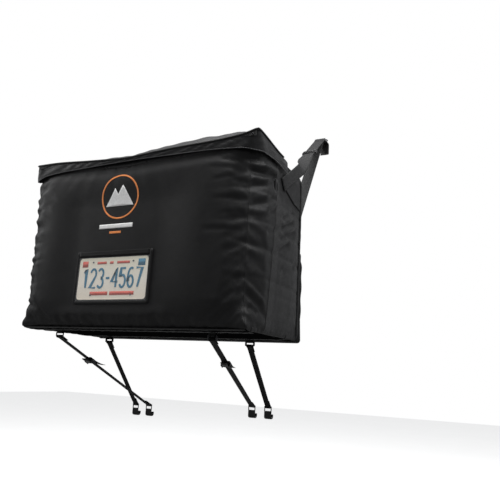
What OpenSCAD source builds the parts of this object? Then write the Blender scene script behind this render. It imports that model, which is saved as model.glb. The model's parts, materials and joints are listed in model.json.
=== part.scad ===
// Soft-sided cargo carrier that straps to the back of a vehicle.
// Frame: +X right seen from behind the vehicle, +Y towards the vehicle, +Z up.
// The origin is on the rear pad's face that rests on the vehicle, at the bag's middle height.

/* [Bag] */
// Width of the bag across the vehicle
bag_w = 960; // [800:10:1100]
// Height of the bag
bag_h = 650; // [560:10:760]
// Depth of the bag, front panel to back panel
bag_d = 446; // [400:2:520]
// Thickness of the rear pad with its grip mat
pad_t = 44; // [30:2:60]
// Thickness of a bag wall, fabric and liner together
wall = 4; // [3:0.5:6]
// Radius of the piping along the edges
pipe_r = 4.5; // [3:0.5:6]

/* [Lid] */
// Depth of the opening part of the top, front edge to fold line
lid_d = 240; // [160:5:260]
// How far the skirt hangs down at the front
skirt_h = 46; // [30:2:70]
// Thickness of the skirt
skirt_t = 2.5; // [1.5:0.5:4]

/* [Plate pocket] */
// Width of the number plate
plate_w = 304.8; // [280:0.1:340]
// Height of the number plate
plate_h = 152.4; // [120:0.1:170]
// Middle of the pocket and the badge, across the front
graphics_x = -62; // [-100:2:60]
// Height of the plate's middle above the bag's middle
plate_z = -144; // [-200:2:-100]
// Outer radius of the round badge
badge_r = 84; // [50:1:95]

/* [Straps] */
// Width of the top and back webbing
top_strap_w = 50; // [38:1:50]
// Width of the bottom webbing
strap_w = 25; // [20:1:28]
// Thickness of the webbing
strap_t = 2; // [1.5:0.1:2.4]

/* [Hidden] */
$fn = 48;

half_w = bag_w / 2;
half_h = bag_h / 2;
y_front = -pad_t - bag_d;
y_back = -pad_t;
fabric = [0.11, 0.11, 0.12];
side_fabric = [0.17, 0.17, 0.18];
web_black = [0.06, 0.06, 0.06];
plastic = [0.09, 0.09, 0.09];
metal = [0.35, 0.35, 0.36];

seam_gap = 0.5;           // room between a panel's edge and the piping beside it
edge_in = pipe_r + 1.5;   // front and back panels stop this far inside the side walls
edge_in_z = 2 * pipe_r;   // and this far inside the bag's top and bottom
pipe_x = half_w - 1;
pipe_z = half_h - wall;
pipe_y_front = y_front + wall;
pipe_y_back = y_back - wall;
y_side_front = pipe_y_front + pipe_r + seam_gap;
y_side_back = pipe_y_back - pipe_r - seam_gap;
z_wall_top = half_h - 3;  // top edge of the upright walls
board_in_x = 10;          // stiff base board, inside the side walls
board_in_y = 14;          // and inside the front and back walls
print_t = 0.8;            // thickness of the printed marks

// Lid and its skirt
skirt_room = 9;           // the skirt hangs this far outside the walls, clear of the zip
lid_z = half_h + 2;       // underside of the lid panel
lid_t = 4;
lid_y_front = y_front - skirt_room;
hinge_y = y_front + lid_d;
hinge_z = lid_z + lid_t / 2;
fold_gap = 2;             // between the fold's round hem and the fixed rear strip of the top
skirt_x = half_w + skirt_room; // inner face of the side skirts
skirt_split = 0.3;        // slit between the front skirt and each side skirt
// Side skirt's rear end, as steps back from the fold line and down from the lid
skirt_tail = [[12, 0], [24, 16], [60, skirt_h - 8]];
lid_half_w = skirt_x + skirt_t;
binding_r = 3;
patch_leg = 88;           // legs of the triangular corner patches
patch_in = 7;
patch_t = 1.5;
eyelet_in = 24;
eyelet_r = 8;
eyelet_hole_r = 4;

// Zip: on the side walls its sliders park at the rear end of the closed zip
zip_z = 300;
zip_h = 12;
zip_t = 1.5;
zip_end_y = -300;
slider_y = -318;
slider_x = half_w + 5;
pin_r = 1.5;
pin_gap = 0.05;           // running fit of the pull on its pin
pin_head_r = 2.9;
cord_len = 65;            // pull's cord, then its flat tab
tab_size = [3, 18, 52];

// Rear pad reaches from the bottom to a little above the middle
pad_half_w = 474;
pad_z0 = -315;
pad_z1 = 40;
mat_t = 6;
mat_in = 4;

// Pocket on the front panel
pocket_margin = 16;
pocket_rim = 12;
pocket_t = 5;
window_y = y_front - 3.2; // clear window's inner face
window_t = 0.8;
plate_t = 1;
plate_y = y_front - 1.6;  // middle of the plate's thickness
plate_hole_x = 88.9;      // half the spacing of a plate's fixing holes
plate_hole_down = 16;
plate_hole_r = 3.5;
flap_h = 16;              // cloth strip across the pocket's open top edge

// Badge: ring round two peaks, over two plain bars
badge_z = 160;
badge_line = 6;
peaks = [[-62, -34], [-22, 34], [-8, 10], [4, 30], [14, 44], [62, -34]];
bars_x = graphics_x - 8;
bars = [[50, 150, 16], [26, 52, 8]]; // height of the middle, width, height

// Reinforcement on the walls
side_web_w = 52;
side_web_low = [-341, -half_h + 2];  // y and z of the side webbing's two ends
side_web_high = [-284, 172];
base_web_w = 38;
base_web_up = 16;         // base webbing's ends turn up the side walls by this much
wing = [[-236, 232], [-150, 297], [-56, 297], [-56, 188], [-130, 197]];
wing_t = 1.5;

// Top strap route, right side: flat on the side wall, then up over the top edge to the ring
ring_at = [403, 400, 698];
top_route = [[484, -250, 233], [484, -86, 349], [474, -36, 386], [459, 30, 436], [447, 95, 488]];
top_widths = [[0, 0.6, -0.8], [0, 0.6, -0.8], [0.5, 0.5, -0.7], [0.85, 0.3, -0.4], [1, 0, 0]];
buckle_share = 70;        // how far up the straight run the slider buckle sits
stub_len = 20;            // last stretch of the top strap, square to the ring
back_route = [[447, -43, 70], [447, -42, 128], [444, 20, 230]];
ring_r = 3;
ring_w = 60;
ring_h = 22;
eye_in = 4.2;             // inside radius of a sewn strap eye round a bar
eye_out = 6.2;
rail = [5, 9, 40];        // side rail of the three-bar slider
slider_bar = [3, 5];      // its end bars, thick and high
slider_mid = [3, 6];      // and its middle bar

// Flat hook over the hatch edge
hook_w = 44;
hook_t = 3;
hook_top_z = 4.5;         // middle of the flat top above the ring
hook_top_y = [5, 51];     // the flat top runs back from the ring's far bar
hook_leg_z = [-53, 3];
hook_lip = 7;
hook_eye_r = 6.5;
bar_gap = 0.1;            // running fit of a hook's eye on its bar

// Bottom straps: where each leaves the bag and where its hook's bar hangs
anchor_x = 330;
anchor_y_front = -430;
anchor_y_rear = -140;
tab_drop = 8;             // the anchor tab's eye hangs this far under the bag
tab_r = 5.4;
tab_hole_r = 3;
tab_plate = [2, 22];      // thickness and length of the tab where it is sewn on
link_h = 16;              // height of a ring or ladder lock, bar to bar
link_r = 2.4;
link_half_w = strap_w / 2 + 4;
lock_cheek = [5, 9, link_h];
anchor_z = -half_h - tab_drop - link_h; // bar that the strap's eye goes round
hook_bar_front_right = [194, 200, -583];
hook_bar_rear_right = [269, 200, -582];
hook_bar_front_left = [-336, 200, -615];
hook_bar_rear_left = [-411, 200, -616];
cam_share = 0.3;          // how far along the front straps the cam buckle sits

// Cam buckle: base plate behind the webbing, two cheeks, a lever that grips on its axle
cam_plate = [strap_w + 10, 2, 44];
cam_plate_y = -2.4;
cheek = [3, 17.4, 24];
cheek_x = strap_w / 2 + 3.5;
cheek_y = 5.3;
axle_y = 8;
axle_r = 2;
axle_len = strap_w + 12;
lever_w = strap_w - 1;
lever_r = 6;
lever_gap = 0.05;
lever_bar = [lever_w, 3.4, 36];

// Flat J-hook for the bumper's lower edge
jaw_w = strap_w + 8;
jaw_t = 3.5;
jaw_pin_r = 2.6;
jaw_leg = 17;
jaw_plate_z = [-38, -16];
jaw_r = 10;               // middle radius of the hook's bend
jaw_tip = 8;

function unit(v) = v / norm(v);
function tangent(p, i) = unit(p[min(i + 1, len(p) - 1)] - p[max(i - 1, 0)]);
function across(s, t) = unit(s - t * (s * t));

top_start = top_route[len(top_route) - 1];
top_stub = unit([0, ring_at.y - top_start.y, ring_at.z - top_start.z]);
top_end = ring_at - top_stub * stub_len;
top_run = unit(top_end - top_start);

// Flat webbing along a route; each entry of widths is the webbing's width direction there
module webbing(route, widths, width, thick) {
    n = len(route);
    corners = [for (i = [0:n - 1]) let (t = tangent(route, i), s = across(widths[i], t),
        u = cross(t, s), a = s * width / 2, b = u * thick / 2)
        each [route[i] + a + b, route[i] - a + b, route[i] - a - b, route[i] + a - b]];
    walls = [for (i = [0:n - 2], k = [0:3]) let (a = 4 * i + k, b = 4 * i + (k + 1) % 4)
        each [[b, a, a + 4], [b, a + 4, b + 4]]];
    e = 4 * (n - 1);
    ends = [[0, 1, 2], [0, 2, 3], [e + 3, e + 2, e + 1], [e + 3, e + 1, e]];
    polyhedron(corners, concat(ends, walls));
}

// Places children with local Z along t and local X along s
module along(p, t, s) {
    x = across(s, t);
    y = cross(t, x);
    multmatrix([[x.x, y.x, t.x, p.x], [x.y, y.y, t.y, p.y], [x.z, y.z, t.z, p.z], [0, 0, 0, 1]])
        children();
}

module box(lo, hi) {
    translate(lo) cube(hi - lo);
}

module rod(a, b, r) {
    d = b - a;
    side = abs(unit(d).x) < 0.9 ? [1, 0, 0] : [0, 1, 0];
    along(a, unit(d), side) cylinder(h = norm(d), r = r);
}

// Round bars through the given points, with ball corners
module bar_path(points, r) {
    for (i = [0:len(points) - 2]) rod(points[i], points[i + 1], r);
    for (p = points) translate(p) sphere(r = r);
}

// Sewn eye of a strap round a bar that runs along X
module strap_eye(p, width) {
    translate(p) rotate([0, 90, 0]) difference() {
        cylinder(h = width, r = eye_out, center = true);
        cylinder(h = width + 2, r = eye_in, center = true);
    }
}

module on_left() {
    mirror([1, 0, 0]) children();
}

// ---- bag shell ----
module front_panel() {
    color(fabric) box([-half_w + edge_in, y_front, -half_h + edge_in_z],
        [half_w - edge_in, y_front + wall, half_h - edge_in_z]);
}
module back_panel() {
    color(fabric) box([-half_w + edge_in, y_back - wall, -half_h + edge_in_z],
        [half_w - edge_in, y_back, half_h - edge_in_z]);
}
module side_panel() {
    color(side_fabric) box([half_w - wall, y_side_front, -half_h + wall],
        [half_w, y_side_back, z_wall_top]);
}
module bottom_panel() {
    color(fabric) box([-half_w, y_side_front, -half_h], [half_w, y_side_back, -half_h + wall]);
}
module top_rear_panel() {
    color(side_fabric) box([-half_w, hinge_y + fold_gap, z_wall_top],
        [half_w, y_side_back, z_wall_top + wall]);
}
module base_board() {
    color(plastic) box([-half_w + board_in_x, y_front + board_in_y, -half_h + wall],
        [half_w - board_in_x, y_back - board_in_y, -half_h + 2 * wall]);
}
module back_pad() {
    color(fabric) box([-pad_half_w, y_back, pad_z0], [pad_half_w, -mat_t, pad_z1]);
}
module grip_mat() {
    color([0.08, 0.08, 0.08]) box([-pad_half_w + mat_in, -mat_t, pad_z0 + mat_in],
        [pad_half_w - mat_in, 0, pad_z1 - mat_in]);
}
module piping_loop(y) {
    color([0.2, 0.2, 0.21]) bar_path([[-pipe_x, y, -pipe_z], [pipe_x, y, -pipe_z],
        [pipe_x, y, pipe_z], [-pipe_x, y, pipe_z], [-pipe_x, y, -pipe_z]], pipe_r);
}

// ---- reinforcement ----
module side_webbing() {
    x = half_w + strap_t / 2;
    color(web_black) webbing([[x, side_web_low.x, side_web_low.y],
        [x, side_web_high.x, side_web_high.y]], [[0, 1, 0], [0, 1, 0]], side_web_w, strap_t);
}
module base_webbing(y) {
    color(web_black) {
        translate([0, y, -half_h - strap_t / 2])
            cube([bag_w + 2 * strap_t, base_web_w, strap_t], center = true);
        for (s = [-1, 1]) translate([s * (half_w + strap_t / 2), y, -half_h + base_web_up / 2])
            cube([strap_t, base_web_w, base_web_up], center = true);
    }
}
module corner_wing() {
    color(side_fabric) translate([half_w, 0, 0]) rotate([90, 0, 90])
        linear_extrude(wing_t) polygon(wing);
}

// ---- zip under the skirt ----
module zipper_tape() {
    color(web_black) {
        box([-half_w + zip_h, y_front - zip_t, zip_z - zip_h / 2],
            [half_w - zip_h, y_front, zip_z + zip_h / 2]);
        for (s = [-1, 1]) translate([s * (half_w + zip_t / 2), (y_side_front + zip_end_y) / 2, zip_z])
            cube([zip_t, zip_end_y - y_side_front, zip_h], center = true);
    }
}
module zip_slider() {
    color(metal) {
        translate([slider_x - 2, slider_y, zip_z]) cube([1.6, 16, 11], center = true);
        translate([slider_x, slider_y, zip_z]) rotate([0, 90, 0]) {
            translate([0, 0, -1.5]) cylinder(h = 4.3, r = pin_r);
            translate([0, 0, 2]) cylinder(h = 0.8, r = pin_head_r);
        }
    }
}
module zip_pull() {
    color(web_black) translate([slider_x + 0.35, slider_y, zip_z]) {
        rotate([0, 90, 0]) difference() {
            cylinder(h = 2, r = 3.2, center = true);
            cylinder(h = 4, r = pin_r + pin_gap, center = true);
        }
        translate([0, 0, -2.5 - cord_len / 2]) cube([2, 3, cord_len], center = true);
        translate([0, 0, -2 - cord_len - tab_size.z / 2]) cube(tab_size, center = true);
    }
}

// ---- number plate pocket and badge ----
module plate_pocket() {
    w = plate_w / 2 + pocket_margin;
    h = plate_h / 2;
    rim = pocket_rim;
    color(fabric) translate([graphics_x, y_front - pocket_t / 2, plate_z]) {
        for (s = [-1, 1]) translate([s * (w - rim / 2), 0, 0])
            cube([rim, pocket_t, 2 * h + 2 * pocket_margin], center = true);
        translate([0, 0, -h - pocket_margin + rim / 2])
            cube([2 * w - 2 * rim, pocket_t, rim], center = true);
        translate([0, -2, h + pocket_margin]) cube([2 * w - 2 * rim, 1, flap_h], center = true);
    }
}
module pocket_window() {
    low = plate_z - plate_h / 2 - pocket_margin + pocket_rim;
    half = plate_w / 2 + pocket_margin - pocket_rim;
    color([0.8, 0.85, 0.9, 0.25]) box([graphics_x - half, window_y - window_t, low],
        [graphics_x + half, window_y, plate_z + plate_h / 2 + 2]);
}
module number_plate() {
    color([0.9, 0.88, 0.8]) translate([graphics_x, plate_y, plate_z]) rotate([90, 0, 0])
        difference() {
            cube([plate_w, plate_h, plate_t], center = true);
            for (s = [-1, 1]) translate([s * plate_hole_x, plate_h / 2 - plate_hole_down, 0])
                cylinder(h = 3 * plate_t, r = plate_hole_r, center = true);
        }
}
module badge_ring() {
    color([0.85, 0.38, 0.12]) translate([graphics_x, y_front, badge_z]) rotate([90, 0, 0])
        difference() {
            cylinder(h = print_t, r = badge_r);
            translate([0, 0, -1]) cylinder(h = 3, r = badge_r - badge_line);
        }
}
module badge_peaks() {
    color([0.9, 0.9, 0.9]) translate([graphics_x, y_front, badge_z]) rotate([90, 0, 0])
        linear_extrude(print_t) polygon(peaks);
}
module badge_bars() {
    color([0.85, 0.85, 0.85]) for (b = bars) translate([bars_x, y_front - print_t / 2, b[0]])
        cube([b[1], print_t, b[2]], center = true);
}

// ---- lid ----
// The lid's rear edge is a round hem, and the lid folds about its middle
module lid_panel() {
    color(side_fabric) {
        box([-lid_half_w, lid_y_front, lid_z], [lid_half_w, hinge_y, lid_z + lid_t]);
        rod([-lid_half_w, hinge_y, hinge_z], [lid_half_w, hinge_y, hinge_z], lid_t / 2);
    }
}
module lid_skirt() {
    y_side = lid_y_front + skirt_t + skirt_split;
    tail = [for (p = skirt_tail) [hinge_y - p[0], lid_z - p[1]]];
    color(side_fabric) {
        box([-lid_half_w, lid_y_front, lid_z - skirt_h], [lid_half_w, lid_y_front + skirt_t, lid_z]);
        for (s = [-1, 1]) translate([s < 0 ? -lid_half_w : skirt_x, 0, 0]) rotate([90, 0, 90])
            linear_extrude(skirt_t)
                polygon(concat([[y_side, lid_z]], tail, [[y_side, lid_z - skirt_h]]));
    }
}
module lid_binding() {
    x = lid_half_w - binding_r;
    y = lid_y_front + binding_r;
    z = lid_z + lid_t + binding_r;
    end = hinge_y - 20;
    color(web_black) bar_path([[-x, end, z], [-x, y, z], [x, y, z], [x, end, z]], binding_r);
}
module lid_corner_patches() {
    color(web_black) for (s = [0, 1]) mirror([s, 0, 0])
        translate([lid_half_w - patch_in, lid_y_front + patch_in, lid_z + lid_t])
            linear_extrude(patch_t) polygon([[0, 0], [0, patch_leg], [-patch_leg, 0]]);
}
module lid_eyelets() {
    color(metal) for (s = [-1, 1]) translate([s * (lid_half_w - eyelet_in),
        lid_y_front + eyelet_in, lid_z + lid_t + patch_t]) difference() {
            cylinder(h = patch_t, r = eyelet_r);
            translate([0, 0, -1]) cylinder(h = 4, r = eyelet_hole_r);
        }
}

// ---- top straps ----
module top_strap() {
    route = concat(top_route, [top_end, ring_at - top_stub * (eye_in + 1)]);
    color(web_black) {
        webbing(route, concat(top_widths, [[1, 0, 0], [1, 0, 0]]), top_strap_w, strap_t);
        strap_eye(ring_at, top_strap_w);
    }
}
// Three-bar slider: the webbing runs over the end bars and under the middle bar
module top_buckle() {
    rail_x = top_strap_w / 2 + 3.5;
    bar_len = 2 * rail_x - rail.x;
    bar_y = (rail.y - slider_bar[0]) / 2;
    bar_z = (rail.z - slider_bar[1]) / 2;
    color(plastic) along(top_start + top_run * buckle_share, top_run, [1, 0, 0]) {
        for (s = [-1, 1]) translate([s * rail_x, 0, 0]) cube(rail, center = true);
        for (z = [-bar_z, bar_z]) translate([0, -bar_y, z])
            cube([bar_len, slider_bar[0], slider_bar[1]], center = true);
        translate([0, bar_y, 0]) cube([bar_len, slider_mid[0], slider_mid[1]], center = true);
    }
}
module back_strap() {
    top = ring_at + unit(back_route[2] - ring_at) * (eye_out + 2.2);
    route = concat(back_route, [top]);
    color(web_black) webbing(route, [for (p = route) [1, 0, 0]], top_strap_w, strap_t);
}
module top_ring() {
    w = ring_w / 2;
    h = ring_h;
    color(metal) translate(ring_at)
        bar_path([[-w, 0, 0], [w, 0, 0], [w, h, 0], [-w, h, 0], [-w, 0, 0]], ring_r);
}
// Flat hook over the hatch edge: eye round the ring's far bar, then down behind the edge
module hatch_hook() {
    w = hook_w / 2;
    back = hook_top_y[1];
    foot = hook_leg_z[0];
    color(plastic) translate(ring_at + [0, ring_h, 0]) {
        rotate([0, 90, 0]) difference() {
            cylinder(h = hook_w, r = hook_eye_r, center = true);
            cylinder(h = hook_w + 2, r = ring_r + bar_gap, center = true);
        }
        box([-w, hook_top_y[0], hook_top_z - hook_t / 2], [w, back, hook_top_z + hook_t / 2]);
        box([-w, back - hook_t, foot], [w, back, hook_leg_z[1]]);
        box([-w, back - hook_t - hook_lip, foot], [w, back - hook_t, foot + hook_t]);
    }
}

// ---- bottom straps ----
module each_anchor() {
    for (x = [-anchor_x, anchor_x], y = [anchor_y_front, anchor_y_rear])
        translate([x, y, anchor_z]) children();
}
module anchor_tabs() {
    color(web_black) each_anchor() {
        translate([0, 0, link_h]) rotate([0, 90, 0]) difference() {
            union() {
                cylinder(h = strap_w, r = tab_r, center = true);
                translate([-tab_drop + strap_t + tab_plate[0] / 2, 0, 0])
                    cube([tab_plate[0], tab_plate[1], strap_w], center = true);
            }
            cylinder(h = strap_w + 2, r = tab_hole_r, center = true);
        }
    }
}
module link_frame() {
    w = link_half_w;
    h = link_h;
    bar_path([[-w, 0, 0], [w, 0, 0], [w, 0, h], [-w, 0, h], [-w, 0, 0]], link_r);
}
module anchor_rings() {
    color(metal) for (x = [-anchor_x, anchor_x])
        translate([x, anchor_y_front, anchor_z]) link_frame();
}
module ladder_locks() {
    color(plastic) for (x = [-anchor_x, anchor_x]) translate([x, anchor_y_rear, anchor_z]) {
        link_frame();
        for (s = [-1, 1]) translate([s * link_half_w, 0, link_h / 2]) cube(lock_cheek, center = true);
    }
}
module bottom_strap(start, bar) {
    run = unit(bar - start);
    color(web_black) {
        strap_eye(start, strap_w);
        webbing([start + run * (eye_in + 1), bar - run * (eye_in + 1)], [[1, 0, 0], [1, 0, 0]],
            strap_w, strap_t);
        strap_eye(bar, strap_w);
    }
}
function strap_start(side, y) = [side * anchor_x, y, anchor_z];
module at_cam(side, bar) {
    start = strap_start(side, anchor_y_front);
    along(start + (bar - start) * cam_share, unit(bar - start), [1, 0, 0]) children();
}
module axle_rod(r, h) {
    translate([0, axle_y, 0]) rotate([0, 90, 0]) cylinder(h = h, r = r, center = true);
}
module cam_frame() {
    translate([0, cam_plate_y, 0]) cube(cam_plate, center = true);
    for (s = [-1, 1]) difference() {
        translate([s * cheek_x, cheek_y, 0]) cube(cheek, center = true);
        axle_rod(axle_r, 2 * axle_len);
    }
}
module at_both_cams() {
    at_cam(-1, hook_bar_front_left) children();
    at_cam(1, hook_bar_front_right) children();
}
module cam_frames() {
    color(metal) at_both_cams() cam_frame();
}
module cam_pins() {
    color(metal) at_both_cams() axle_rod(axle_r, axle_len);
}
module cam_lever(side, bar) {
    color(plastic) at_cam(side, bar) difference() {
        union() {
            axle_rod(lever_r, lever_w);
            translate([0, axle_y + 4, -20]) cube(lever_bar, center = true);
        }
        axle_rod(axle_r + lever_gap, 2 * axle_len);
    }
}
// Flat steel J-hook that hangs from the strap's eye and catches a lower edge
module bumper_hook(bar) {
    low = jaw_plate_z[0];
    side = jaw_w / 2 - jaw_t / 2;
    color(plastic) translate(bar) {
        rotate([0, 90, 0]) cylinder(h = jaw_w, r = jaw_pin_r, center = true);
        for (s = [-1, 1]) translate([s * side, 0, 0.5 - jaw_leg / 2])
            cube([jaw_t, jaw_t, jaw_leg], center = true);
        box([-jaw_w / 2, -jaw_t / 2, low], [jaw_w / 2, jaw_t / 2, jaw_plate_z[1]]);
        translate([0, jaw_r, low]) rotate([0, 90, 0]) difference() {
            cylinder(h = jaw_w, r = jaw_r + jaw_t / 2, center = true);
            cylinder(h = jaw_w + 2, r = jaw_r - jaw_t / 2, center = true);
            translate([-20, 0, 0]) cube([40, 40, jaw_w + 4], center = true);
        }
        translate([0, 2 * jaw_r, low + jaw_tip / 2]) cube([jaw_w, jaw_t, jaw_tip], center = true);
    }
}

front_panel();
back_panel();
on_left() side_panel();  // side_panel_left
side_panel();  // side_panel_right
bottom_panel();
top_rear_panel();
base_board();
back_pad();
grip_mat();
piping_loop(pipe_y_front);  // front_piping
piping_loop(pipe_y_back);  // rear_piping
on_left() side_webbing();  // side_webbing_left
side_webbing();  // side_webbing_right
base_webbing(anchor_y_front);  // base_webbing_front
base_webbing(anchor_y_rear);  // base_webbing_rear
on_left() corner_wing();  // corner_wing_left
corner_wing();  // corner_wing_right
zipper_tape();
plate_pocket();
pocket_window();
number_plate();
badge_ring();
badge_peaks();
badge_bars();
lid_panel();
lid_skirt();
lid_binding();
lid_corner_patches();
lid_eyelets();
on_left() zip_slider();  // zip_slider_left
zip_slider();  // zip_slider_right
on_left() zip_pull();  // zip_pull_left
zip_pull();  // zip_pull_right
on_left() top_strap();  // top_strap_left
top_strap();  // top_strap_right
on_left() top_buckle();  // top_buckle_left
top_buckle();  // top_buckle_right
on_left() back_strap();  // back_strap_left
back_strap();  // back_strap_right
on_left() top_ring();  // top_ring_left
top_ring();  // top_ring_right
on_left() hatch_hook();  // hatch_hook_left
hatch_hook();  // hatch_hook_right
anchor_tabs();
anchor_rings();
ladder_locks();
bottom_strap(strap_start(-1, anchor_y_front), hook_bar_front_left);  // bottom_strap_front_left
bottom_strap(strap_start(1, anchor_y_front), hook_bar_front_right);  // bottom_strap_front_right
bottom_strap(strap_start(-1, anchor_y_rear), hook_bar_rear_left);  // bottom_strap_rear_left
bottom_strap(strap_start(1, anchor_y_rear), hook_bar_rear_right);  // bottom_strap_rear_right
cam_frames();
cam_pins();
cam_lever(-1, hook_bar_front_left);  // cam_lever_left
cam_lever(1, hook_bar_front_right);  // cam_lever_right
bumper_hook(hook_bar_front_left);  // bumper_hook_front_left
bumper_hook(hook_bar_front_right);  // bumper_hook_front_right
bumper_hook(hook_bar_rear_left);  // bumper_hook_rear_left
bumper_hook(hook_bar_rear_right);  // bumper_hook_rear_right
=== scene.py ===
import json
import math
import random

import bmesh
import bpy
import numpy as np
from mathutils import Matrix, Vector
from mathutils.bvhtree import BVHTree

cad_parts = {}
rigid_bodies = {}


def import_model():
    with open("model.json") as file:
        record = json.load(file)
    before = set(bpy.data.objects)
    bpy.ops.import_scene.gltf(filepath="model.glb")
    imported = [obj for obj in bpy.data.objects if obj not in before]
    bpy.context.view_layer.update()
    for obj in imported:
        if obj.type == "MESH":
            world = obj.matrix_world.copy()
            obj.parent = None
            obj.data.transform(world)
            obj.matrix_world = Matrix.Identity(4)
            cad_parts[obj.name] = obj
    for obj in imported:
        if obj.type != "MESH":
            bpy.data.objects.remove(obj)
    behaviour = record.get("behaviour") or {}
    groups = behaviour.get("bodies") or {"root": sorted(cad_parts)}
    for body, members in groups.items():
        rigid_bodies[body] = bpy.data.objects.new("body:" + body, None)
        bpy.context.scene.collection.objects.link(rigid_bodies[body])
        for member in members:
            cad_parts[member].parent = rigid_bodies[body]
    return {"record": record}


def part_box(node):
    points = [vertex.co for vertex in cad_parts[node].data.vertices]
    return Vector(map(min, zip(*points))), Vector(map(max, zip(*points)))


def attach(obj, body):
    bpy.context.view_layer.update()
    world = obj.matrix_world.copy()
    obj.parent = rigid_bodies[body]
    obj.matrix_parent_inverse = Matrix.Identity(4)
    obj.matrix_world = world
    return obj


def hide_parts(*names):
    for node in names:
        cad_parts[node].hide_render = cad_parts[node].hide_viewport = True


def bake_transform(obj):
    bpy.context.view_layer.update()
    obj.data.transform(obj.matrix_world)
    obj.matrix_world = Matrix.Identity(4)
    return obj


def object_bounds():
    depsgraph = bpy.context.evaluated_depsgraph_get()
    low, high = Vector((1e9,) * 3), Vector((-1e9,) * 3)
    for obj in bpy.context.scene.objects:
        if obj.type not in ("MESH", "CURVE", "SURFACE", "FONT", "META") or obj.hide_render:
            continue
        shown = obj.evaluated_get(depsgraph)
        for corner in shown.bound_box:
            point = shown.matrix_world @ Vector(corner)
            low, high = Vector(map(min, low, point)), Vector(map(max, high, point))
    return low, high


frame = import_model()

CAD_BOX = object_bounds()
RECORD = frame["record"]
JOINTS = {j["name"]: j for j in RECORD["behaviour"]["joints"]}
random.seed(7)

# ---------------------------------------------------------------- sizes taken from the frame
SIDE_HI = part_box("side_panel_right")[1]
HALF_W = SIDE_HI.x                      # outer face of the side walls
Y_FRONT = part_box("front_panel")[0].y    # outer face of the front wall
Y_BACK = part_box("back_panel")[1].y      # outer face of the back wall
Z_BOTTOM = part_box("bottom_panel")[0].z  # outer face of the bottom
Z_RIM = SIDE_HI.z                       # top edge of the upright walls
HINGE = Vector(JOINTS["lid_fold"]["pos_m"])
RINGS = {side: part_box("top_ring_" + side) for side in ("left", "right")}
RING_ROD = 0.003                        # radius of the rings' rod
SIDES = {"left": -1, "right": 1}
TOP_WEB_W, BACK_WEB_W, WEB_T = 0.052, 0.050, 0.0020     # wide webbing at the top
TIE_WEB_W, TIE_WEB_T = 0.0238, 0.0018                   # narrow webbing under the bag
EYE_R = 0.0052                          # how far webbing stands off a bar that it turns round


# ---------------------------------------------------------------- small helpers
def smooth(a, b, x):
    t = np.clip((np.asarray(x, float) - a) / (b - a), 0, 1)
    return t * t * (3 - 2 * t)


def bump(x, centre, width):
    return np.exp(-((np.asarray(x, float) - centre) / width) ** 2)


def read_off(line, x):
    """Second value of a line of pairs where its first value is x."""
    return np.interp(x, *zip(*line))


def new_object(name, verts, faces, material, smooth_shade=True):
    mesh = bpy.data.meshes.new(name)
    mesh.from_pydata([tuple(v) for v in verts], [], [tuple(f) for f in faces])
    mesh.validate()
    mesh.update()
    mesh.polygons.foreach_set("use_smooth", [smooth_shade] * len(mesh.polygons))
    obj = bpy.data.objects.new(name, mesh)
    bpy.context.collection.objects.link(obj)
    if material:
        mesh.materials.append(material)
    return obj


def coords(obj):
    co = np.empty(len(obj.data.vertices) * 3)
    obj.data.vertices.foreach_get("co", co)
    return co.reshape(-1, 3)


def set_coords(obj, co):
    obj.data.vertices.foreach_set("co", np.asarray(co, float).ravel())
    obj.data.update()


def apply_modifiers(obj):
    graph = bpy.context.evaluated_depsgraph_get()
    mesh = bpy.data.meshes.new_from_object(obj.evaluated_get(graph))
    obj.modifiers.clear()
    old = obj.data
    obj.data = mesh
    bpy.data.meshes.remove(old)
    return obj


def subdivide(obj, levels=1):
    sub = obj.modifiers.new("sub", "SUBSURF")
    sub.levels = sub.render_levels = levels
    return apply_modifiers(obj)


def line_inside(obj, thickness):
    """Gives a sheet its thickness inward; the inner face takes the sheet's second material."""
    solid = obj.modifiers.new("solid", "SOLIDIFY")
    solid.thickness = thickness
    solid.offset = -1
    solid.material_offset = 1


def fix_normals(obj):
    bm = bmesh.new()
    bm.from_mesh(obj.data)
    bmesh.ops.recalc_face_normals(bm, faces=bm.faces)
    bm.to_mesh(obj.data)
    bm.free()


def loft_faces(rings, sides, closed=False, caps=True):
    """Faces that join rings of points, each ring to the next, with a flat cap on both ends."""
    faces = []
    for i in range(rings if closed else rings - 1):
        j = (i + 1) % rings
        for k in range(sides):
            m = (k + 1) % sides
            faces.append((i * sides + k, i * sides + m, j * sides + m, j * sides + k))
    if caps and not closed:
        faces.append(tuple(range(sides))[::-1])
        faces.append(tuple((rings - 1) * sides + k for k in range(sides)))
    return faces


def span(a, b, n):
    return [a + (b - a) * k / (n - 1) for k in range(n)]


def circle(n):
    return [2 * math.pi * k / n for k in range(n)]


def arc_yz(centre, radius, angles):
    """Points round a bar along X; angles in radians, 0 along +Y and a quarter turn along +Z."""
    return [centre + Vector((0, radius * math.cos(a), radius * math.sin(a))) for a in angles]


def join(name, objs):
    """One mesh from several, keeping each one's material."""
    bpy.context.view_layer.update()
    mesh = bpy.data.meshes.new(name)
    materials = []
    bm = bmesh.new()
    for obj in objs:
        part = obj.data.copy()
        part.transform(obj.matrix_world)
        remap = []
        for m in part.materials:
            if m not in materials:
                materials.append(m)
            remap.append(materials.index(m))
        for poly in part.polygons:
            poly.material_index = remap[poly.material_index] if remap else 0
        bm.from_mesh(part)
        bpy.data.meshes.remove(part)
    bm.to_mesh(mesh)
    bm.free()
    for m in materials:
        mesh.materials.append(m)
    for obj in objs:
        bpy.data.objects.remove(obj)
    obj = bpy.data.objects.new(name, mesh)
    bpy.context.collection.objects.link(obj)
    return obj


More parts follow.
